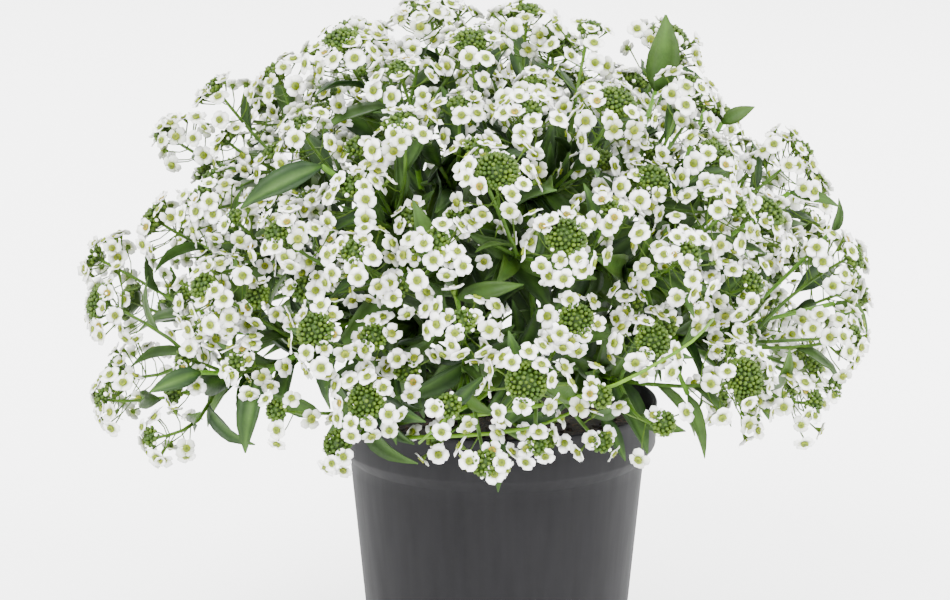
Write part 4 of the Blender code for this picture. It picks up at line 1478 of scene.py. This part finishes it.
def soil_finish() -> bpy.types.Material:
    """Damp dark peat with brown fibres."""
    finish = Finish("potting_soil", 0.92)
    grains = finish.noise(finish.place, 700.0, 6.0)
    finish.colour(finish.ramp(grains, ((0.32, (0.004, 0.003, 0.002)), (0.55, (0.018, 0.011, 0.006)),
                                       (0.74, (0.080, 0.042, 0.018)))))
    finish.bump(grains, 0.0008, 0.8)
    return finish.material


@dataclass
class NurseryPot:
    """The moulded pot with its foot, wall, chamfer, band and rolled lip."""

    sides: int = 144
    lip_steps: int = 5
    ledge: float = 0.00035

    def outline(self) -> list[tuple[float, float]]:
        """Returns radius and height of each turn, from the foot's middle round to the inside's middle."""
        inner = POT_RIM_RADIUS - POT_WALL
        wall = POT_WALL_TOP_RADIUS - POT_BASE_RADIUS
        slope = POT_CHAMFER_LOW - 0.002 - POT_FOOT_EDGE
        points = [
            (0.0, 0.0),
            (POT_BASE_RADIUS - 2 * POT_FOOT_EDGE, 0.0),
            (POT_BASE_RADIUS - POT_FOOT_EDGE / 3, 0.00025),
            (POT_BASE_RADIUS, POT_FOOT_EDGE),
        ]
        shares = (0.2, 0.4, 0.6, 0.8, 0.97)
        points += [(POT_BASE_RADIUS + wall * t, POT_FOOT_EDGE + slope * t) for t in shares]
        points += [
            (POT_WALL_TOP_RADIUS, POT_CHAMFER_LOW - 0.0006),
            (POT_WALL_TOP_RADIUS + self.ledge, POT_CHAMFER_LOW),
            (POT_BAND_RADIUS - self.ledge, POT_BAND_LOW - 0.0005),
            (POT_BAND_RADIUS, POT_BAND_LOW + 0.0003),
            (POT_BAND_RADIUS + 0.0001, POT_BAND_LOW + 0.006),
            (POT_RIM_RADIUS - 0.0003, POT_HEIGHT - 0.0026),
            (POT_RIM_RADIUS - 0.0001, POT_HEIGHT - 0.0020),
        ]
        round_lip = POT_WALL / 2
        for k in range(self.lip_steps + 1):
            turn = math.pi * k / self.lip_steps
            points.append((POT_RIM_RADIUS - round_lip + round_lip * math.cos(turn),
                           POT_HEIGHT - round_lip + round_lip * math.sin(turn)))
        points += [
            (inner - 0.0002, POT_HEIGHT - 0.004),
            (POT_BAND_RADIUS - POT_WALL, POT_BAND_LOW + POT_WALL / 2),
            (POT_WALL_TOP_RADIUS - POT_WALL, POT_CHAMFER_LOW + POT_WALL / 2),
            (POT_BASE_RADIUS - POT_WALL, POT_WALL),
            (0.0, POT_WALL),
        ]
        return points

    def build(self) -> None:
        """Spins the outline and adds the pot."""
        bm = bmesh.new()
        verts = [bm.verts.new((radius, 0.0, height)) for radius, height in self.outline()]
        edges = [bm.edges.new(pair) for pair in zip(verts, verts[1:])]
        bmesh.ops.spin(bm, geom=verts + edges, cent=(0, 0, 0), axis=UP, angle=math.tau, steps=self.sides,
                       use_merge=True)
        bmesh.ops.remove_doubles(bm, verts=bm.verts, dist=MERGE_DISTANCE)
        bmesh.ops.recalc_face_normals(bm, faces=bm.faces)
        mesh = bpy.data.meshes.new("nursery_pot")
        bm.to_mesh(mesh)
        bm.free()
        mesh.shade_smooth()
        mesh.set_sharp_from_angle(angle=math.radians(32))
        add_piece("nursery_pot", mesh, Slot.POT, pot_finish(), ["pot"])


@dataclass
class PottingSoil:
    """The soil with its lumpy top and loose crumbs."""

    crumbs: int = 620
    seed: int = 41
    rim_gap: float = 0.0004

    def build(self) -> None:
        """Adds the soil bed and its crumbs."""
        draw = random.Random(self.seed)
        soil = Posy()
        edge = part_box("soil")[1].x - self.rim_gap
        bm = soil.bm
        depth = SOIL_EDGE_HEIGHT - POT_CHAMFER_LOW
        made = bmesh.ops.create_cone(
            bm, cap_ends=True, segments=64, radius1=edge - 0.0030, radius2=edge, depth=depth,
            matrix=Matrix.Translation((0, 0, (SOIL_EDGE_HEIGHT + POT_CHAMFER_LOW) / 2)),
        )
        faces = {face for vert in made["verts"] for face in vert.link_faces}
        top = max(faces, key=lambda face: face.normal.z)
        for share in (0.94, 0.86, 0.76, 0.65, 0.53, 0.40, 0.26, 0.12):
            top = bmesh.ops.extrude_discrete_faces(bm, faces=[top])["faces"][0]
            for vert in top.verts:
                flat = Vector((vert.co.x, vert.co.y)).normalized() * edge * share
                rise = (SOIL_CROWN_HEIGHT - SOIL_EDGE_HEIGHT) * (1 - share)
                vert.co = (flat.x, flat.y, SOIL_EDGE_HEIGHT + rise + draw.uniform(-0.0007, 0.0005))
        crumb = bud_mesh((0.05, 0.03, 0.02), (0.03, 0.02, 0.01), 0.7)
        for _ in range(self.crumbs):
            turn = draw.uniform(0, math.tau)
            reach = edge * 0.97 * math.sqrt(draw.random())
            height = SOIL_EDGE_HEIGHT + (SOIL_CROWN_HEIGHT - SOIL_EDGE_HEIGHT) * (1 - reach / edge)
            way = Vector((draw.uniform(-1, 1), draw.uniform(-1, 1), 1.0)).normalized()
            size = 0.0008 + 0.0022 * draw.random() ** 3
            place = Vector((reach * math.cos(turn), reach * math.sin(turn), height))
            soil.stamp(crumb, stood(place, way, 0.0, Vector((size, size * draw.uniform(0.6, 1.0), size))))
        soil.finish("potting_soil", Slot.SOIL, soil_finish(), ["soil"])


@dataclass
class Plant:
    """The whole flowering plant, dressed on its plan."""

    plan: PlantPlan
    forms: Forms
    seed: int = 7
    stem_thickness: float = 0.78

    def build(self) -> None:
        """Adds the flower sprays and the leafy stems."""
        petals = petal_finish()
        hearts = greenery_finish("buds_and_stalks", 0.55, 520.0)
        for number, spray in enumerate(self.plan.sprays):
            node = f"spray_{number + 1:02d}"
            off = self.plan.check_against(node, [self.plan.spots[i] for i in spray])
            if off > NODE_TOLERANCE:
                LOG.warning("%s stands %.1f mm off its node", node, off * 1000)
            self.spray(number, spray, node, petals, hearts)
        blades = greenery_finish("leaf_blades", 0.55, 160.0)
        for number, paths in enumerate(self.plan.stems):
            self.stem(number, paths, blades, hearts)
        self.front_shoots(hearts)

    def front_shoots(self, bark: bpy.types.Material) -> None:
        """Adds the bare bright shoots that cross the front."""
        shoots = Posy()
        for run in FRONT_SHOOTS:
            smooth = rounded([Vector(point) for point in run])
            radii = tapered(SHOOT_RADII, len(smooth))
            shoots.tube(smooth, radii, (PALETTE.shoot, PALETTE.shoot), 7)
        shoots.finish("front_shoots", Slot.GREEN, bark)

    def spray(
        self, number: int, spray: list[int], node: str, petals: bpy.types.Material,
        hearts: bpy.types.Material,
    ) -> None:
        """Adds one spray: its petals as one piece, its buds, eyes and stalks as another.

        Args:
            number: the spray's number, from 0.
            spray: the numbers of its heads.
            node: the fixed node that it stands for.
            petals: the petals' material.
            hearts: the material of everything green.
        """
        white, green = Posy(), Posy()
        for i, path in zip(spray, self.plan.stalks[number]):
            draw = random.Random(self.seed * 1000 + i)
            radius = self.plan.heads[i].radius
            head = FlowerHead(self.plan.spots[i], radius, path, draw)
            x, y, z = head.spot
            if z < LOW_FRONT_HEIGHT and y < 0 and abs(x) < LOW_FRONT_WIDTH:
                head.thinned = LOW_FRONT_THINNED
            open_share = OPEN_SHARE_LARGE if radius > OPEN_HEAD_RADIUS else OPEN_SHARE_SMALL
            if draw.random() > open_share:
                head.whorls = CLOSED_WHORLS
                head.dome = CLOSED_DOME
            head.dress(white, green, self.forms)
        for k, sprig in enumerate(self.plan.sprigs[number]):
            draw = random.Random(self.seed * 2000 + number * 50 + k)
            head = FlowerHead(sprig.spot, sprig.radius, sprig.path, draw, SPRIG_WHORLS)
            head.dress(white, green, self.forms)
        white.finish(f"petals_{number + 1:02d}", Slot.FLOWER, petals, [node])
        green.finish(f"hearts_{number + 1:02d}", Slot.GREEN, hearts, [node])

    def stem(
        self, number: int, paths: list[Path], blades: bpy.types.Material, bark: bpy.types.Material
    ) -> None:
        """Adds one leafy stem: its branches as one piece, its leaves as another.

        Args:
            number: the stem's number, from 0.
            paths: the stem and its branches.
            blades: the leaves' material.
            bark: the branches' material.
        """
        node = f"leafy_stem_{number + 1}"
        wood, leaves = Posy(), Posy()
        for k, path in enumerate(paths):
            smooth = rounded(path)
            last = len(smooth) - 1
            if k == 0:
                radii = [self.stem_thickness * STEM_RADIUS] * (last + 1)
            else:
                thick = self.stem_thickness * BRANCH_RADIUS
                radii = [thick * (0.75 + 0.25 * min(1.0, 3 * j / last)) for j in range(last + 1)]
            wood.tube(smooth, radii, (PALETTE.stalk_low, PALETTE.stem), 7)
        for twig in self.plan.twigs[number]:
            wood.tube(twig, (BRANCH_START_RADIUS, TWIG_RADIUS), (PALETTE.stem, PALETTE.stem), 6)
        draw = random.Random(self.seed + number)
        for seat in self.plan.leaves[number]:
            across, out = leaf_frame(seat.root, seat.tip, seat.normal)
            along = seat.tip - seat.root
            turn = Matrix((across * seat.width, along, out * along.length)).transposed().to_4x4()
            leaves.stamp(draw.choice(self.forms.leaves), Matrix.Translation(seat.root) @ turn)
        wood.finish(f"stems_{number + 1}", Slot.GREEN, bark, [node])
        leaves.finish(f"leaves_{number + 1}", Slot.GREEN, blades, [node])


# Bare shoots that cross the front: bends picked in the photograph, turned into real sizes with its
# camera and rounded to half a millimetre
FRONT_SHOOTS = (
    ((-0.014, -0.062, 0.100), (0.000, -0.085, 0.108), (0.017, -0.098, 0.114), (0.034, -0.104, 0.121),
     (0.045, -0.106, 0.128), (0.055, -0.104, 0.1335), (0.061, -0.095, 0.138)),
    ((-0.030, -0.066, 0.095), (-0.017, -0.072, 0.097), (0.000, -0.074, 0.0985), (0.0145, -0.073, 0.101),
     (0.027, -0.070, 0.107)),
    ((-0.002, -0.070, 0.111), (-0.007, -0.084, 0.1105), (-0.0125, -0.092, 0.110), (-0.019, -0.096, 0.1055),
     (-0.023, -0.090, 0.100)),
)

MODEL_LEAVES = LeafRule(LEAF_SPOTS, LEAF_LENGTHS, LEAF_WIDTH_SHARE, LEAF_CLEARANCE, LEAF_ROLLS, LEAF_SEED)
STALK_LEAVES = LeafRule((0.30, 0.62), (0.013, 0.023), (0.26, 0.34), 0.0001, 6, 53)
FILLING_LEAVES = (
    LeafRule((0.30, 0.42), (0.028, 0.034), (0.27, 0.33), 0.0003, 5, 47),
    LeafRule((0.52, 0.72, 0.82, 0.97), (0.021, 0.029), (0.26, 0.33), 0.0004, 6, 31),
    LeafRule((0.45, 0.58, 0.67, 0.77, 0.88), (0.016, 0.024), (0.26, 0.34), 0.0002, 5, 37),
    LeafRule((0.38, 0.50, 0.63, 0.75, 0.85, 0.95), (0.013, 0.020), (0.25, 0.33), 0.0001, 5, 43),
)


@dataclass(frozen=True)
class Lamp:
    """One square light: its name, its place, the length of its side and its power in watts."""

    name: str
    place: tuple[float, float, float]
    size: float
    power: float


LAMPS = (
    Lamp("key", (-0.9, -1.5, 1.7), 1.3, 112.0),
    Lamp("fill", (1.5, -0.9, 1.1), 1.4, 67.0),
    Lamp("back", (-0.8, 1.3, 1.6), 1.4, 70.0),
    Lamp("back_right", (1.3, 1.0, 0.9), 1.0, 40.0),
)


@dataclass(frozen=True)
class Studio:
    """Pale floor, soft light, and a camera where the photograph was taken from."""

    camera_place: tuple[float, float, float] = (-0.0069, -1.0718, 0.3691)
    camera_pitch: float = 77.0
    lens: float = 133.4
    sensor: float = 36.0
    floor_size: float = 6.0
    floor_gap: float = 0.0002
    floor_white: float = 0.94
    sky_strength: float = 3.2

    def build(self) -> None:
        """Adds the floor, the lights, the world and the camera."""
        self.floor()
        for lamp in LAMPS:
            self.light(lamp)
        world = bpy.data.worlds.new("studio")
        world.use_nodes = True
        sky = world.node_tree.nodes["Background"]
        sky.inputs["Color"].default_value = (1.0, 1.0, 1.0, 1.0)
        sky.inputs["Strength"].default_value = self.sky_strength
        bpy.context.scene.world = world
        data = bpy.data.cameras.new("camera")
        data.lens = self.lens
        data.sensor_width = self.sensor
        camera = bpy.data.objects.new("camera", data)
        camera.location = self.camera_place
        camera.rotation_euler = (math.radians(self.camera_pitch), 0.0, 0.0)
        bpy.context.scene.collection.objects.link(camera)
        bpy.context.scene.camera = camera

    def floor(self) -> None:
        """Adds the plain floor just under the pot."""
        bm = bmesh.new()
        bmesh.ops.create_grid(bm, x_segments=4, y_segments=4, size=self.floor_size)
        mesh = bpy.data.meshes.new("floor")
        bm.to_mesh(mesh)
        bm.free()
        finish = Finish("pale_floor", 0.85)
        finish.shader.inputs["Base Color"].default_value = (*[self.floor_white] * 3, 1.0)
        mesh.materials.append(finish.material)
        floor = bpy.data.objects.new("floor", mesh)
        floor.location.z = -self.floor_gap
        bpy.context.scene.collection.objects.link(floor)

    def light(self, lamp: Lamp) -> None:
        """Adds one soft square light that looks at the plant."""
        data = bpy.data.lights.new(lamp.name, "AREA")
        data.size = lamp.size
        data.energy = lamp.power
        light = bpy.data.objects.new(lamp.name, data)
        light.location = lamp.place
        light.rotation_euler = (HEART - Vector(lamp.place)).to_track_quat("-Z", "Y").to_euler()
        bpy.context.scene.collection.objects.link(light)


def main() -> None:
    """Builds the studio, the pot, the soil and the plant."""
    logging.basicConfig(level=logging.INFO, format="%(message)s")
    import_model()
    Studio().build()
    plan = PlantPlan()
    plan.work_out()
    LOG.info("%d heads, %d leaves", len(plan.heads), sum(len(seats) for seats in plan.leaves))
    NurseryPot().build()
    PottingSoil().build()
    Plant(plan, Forms()).build()


if __name__ == "__main__":
    main()
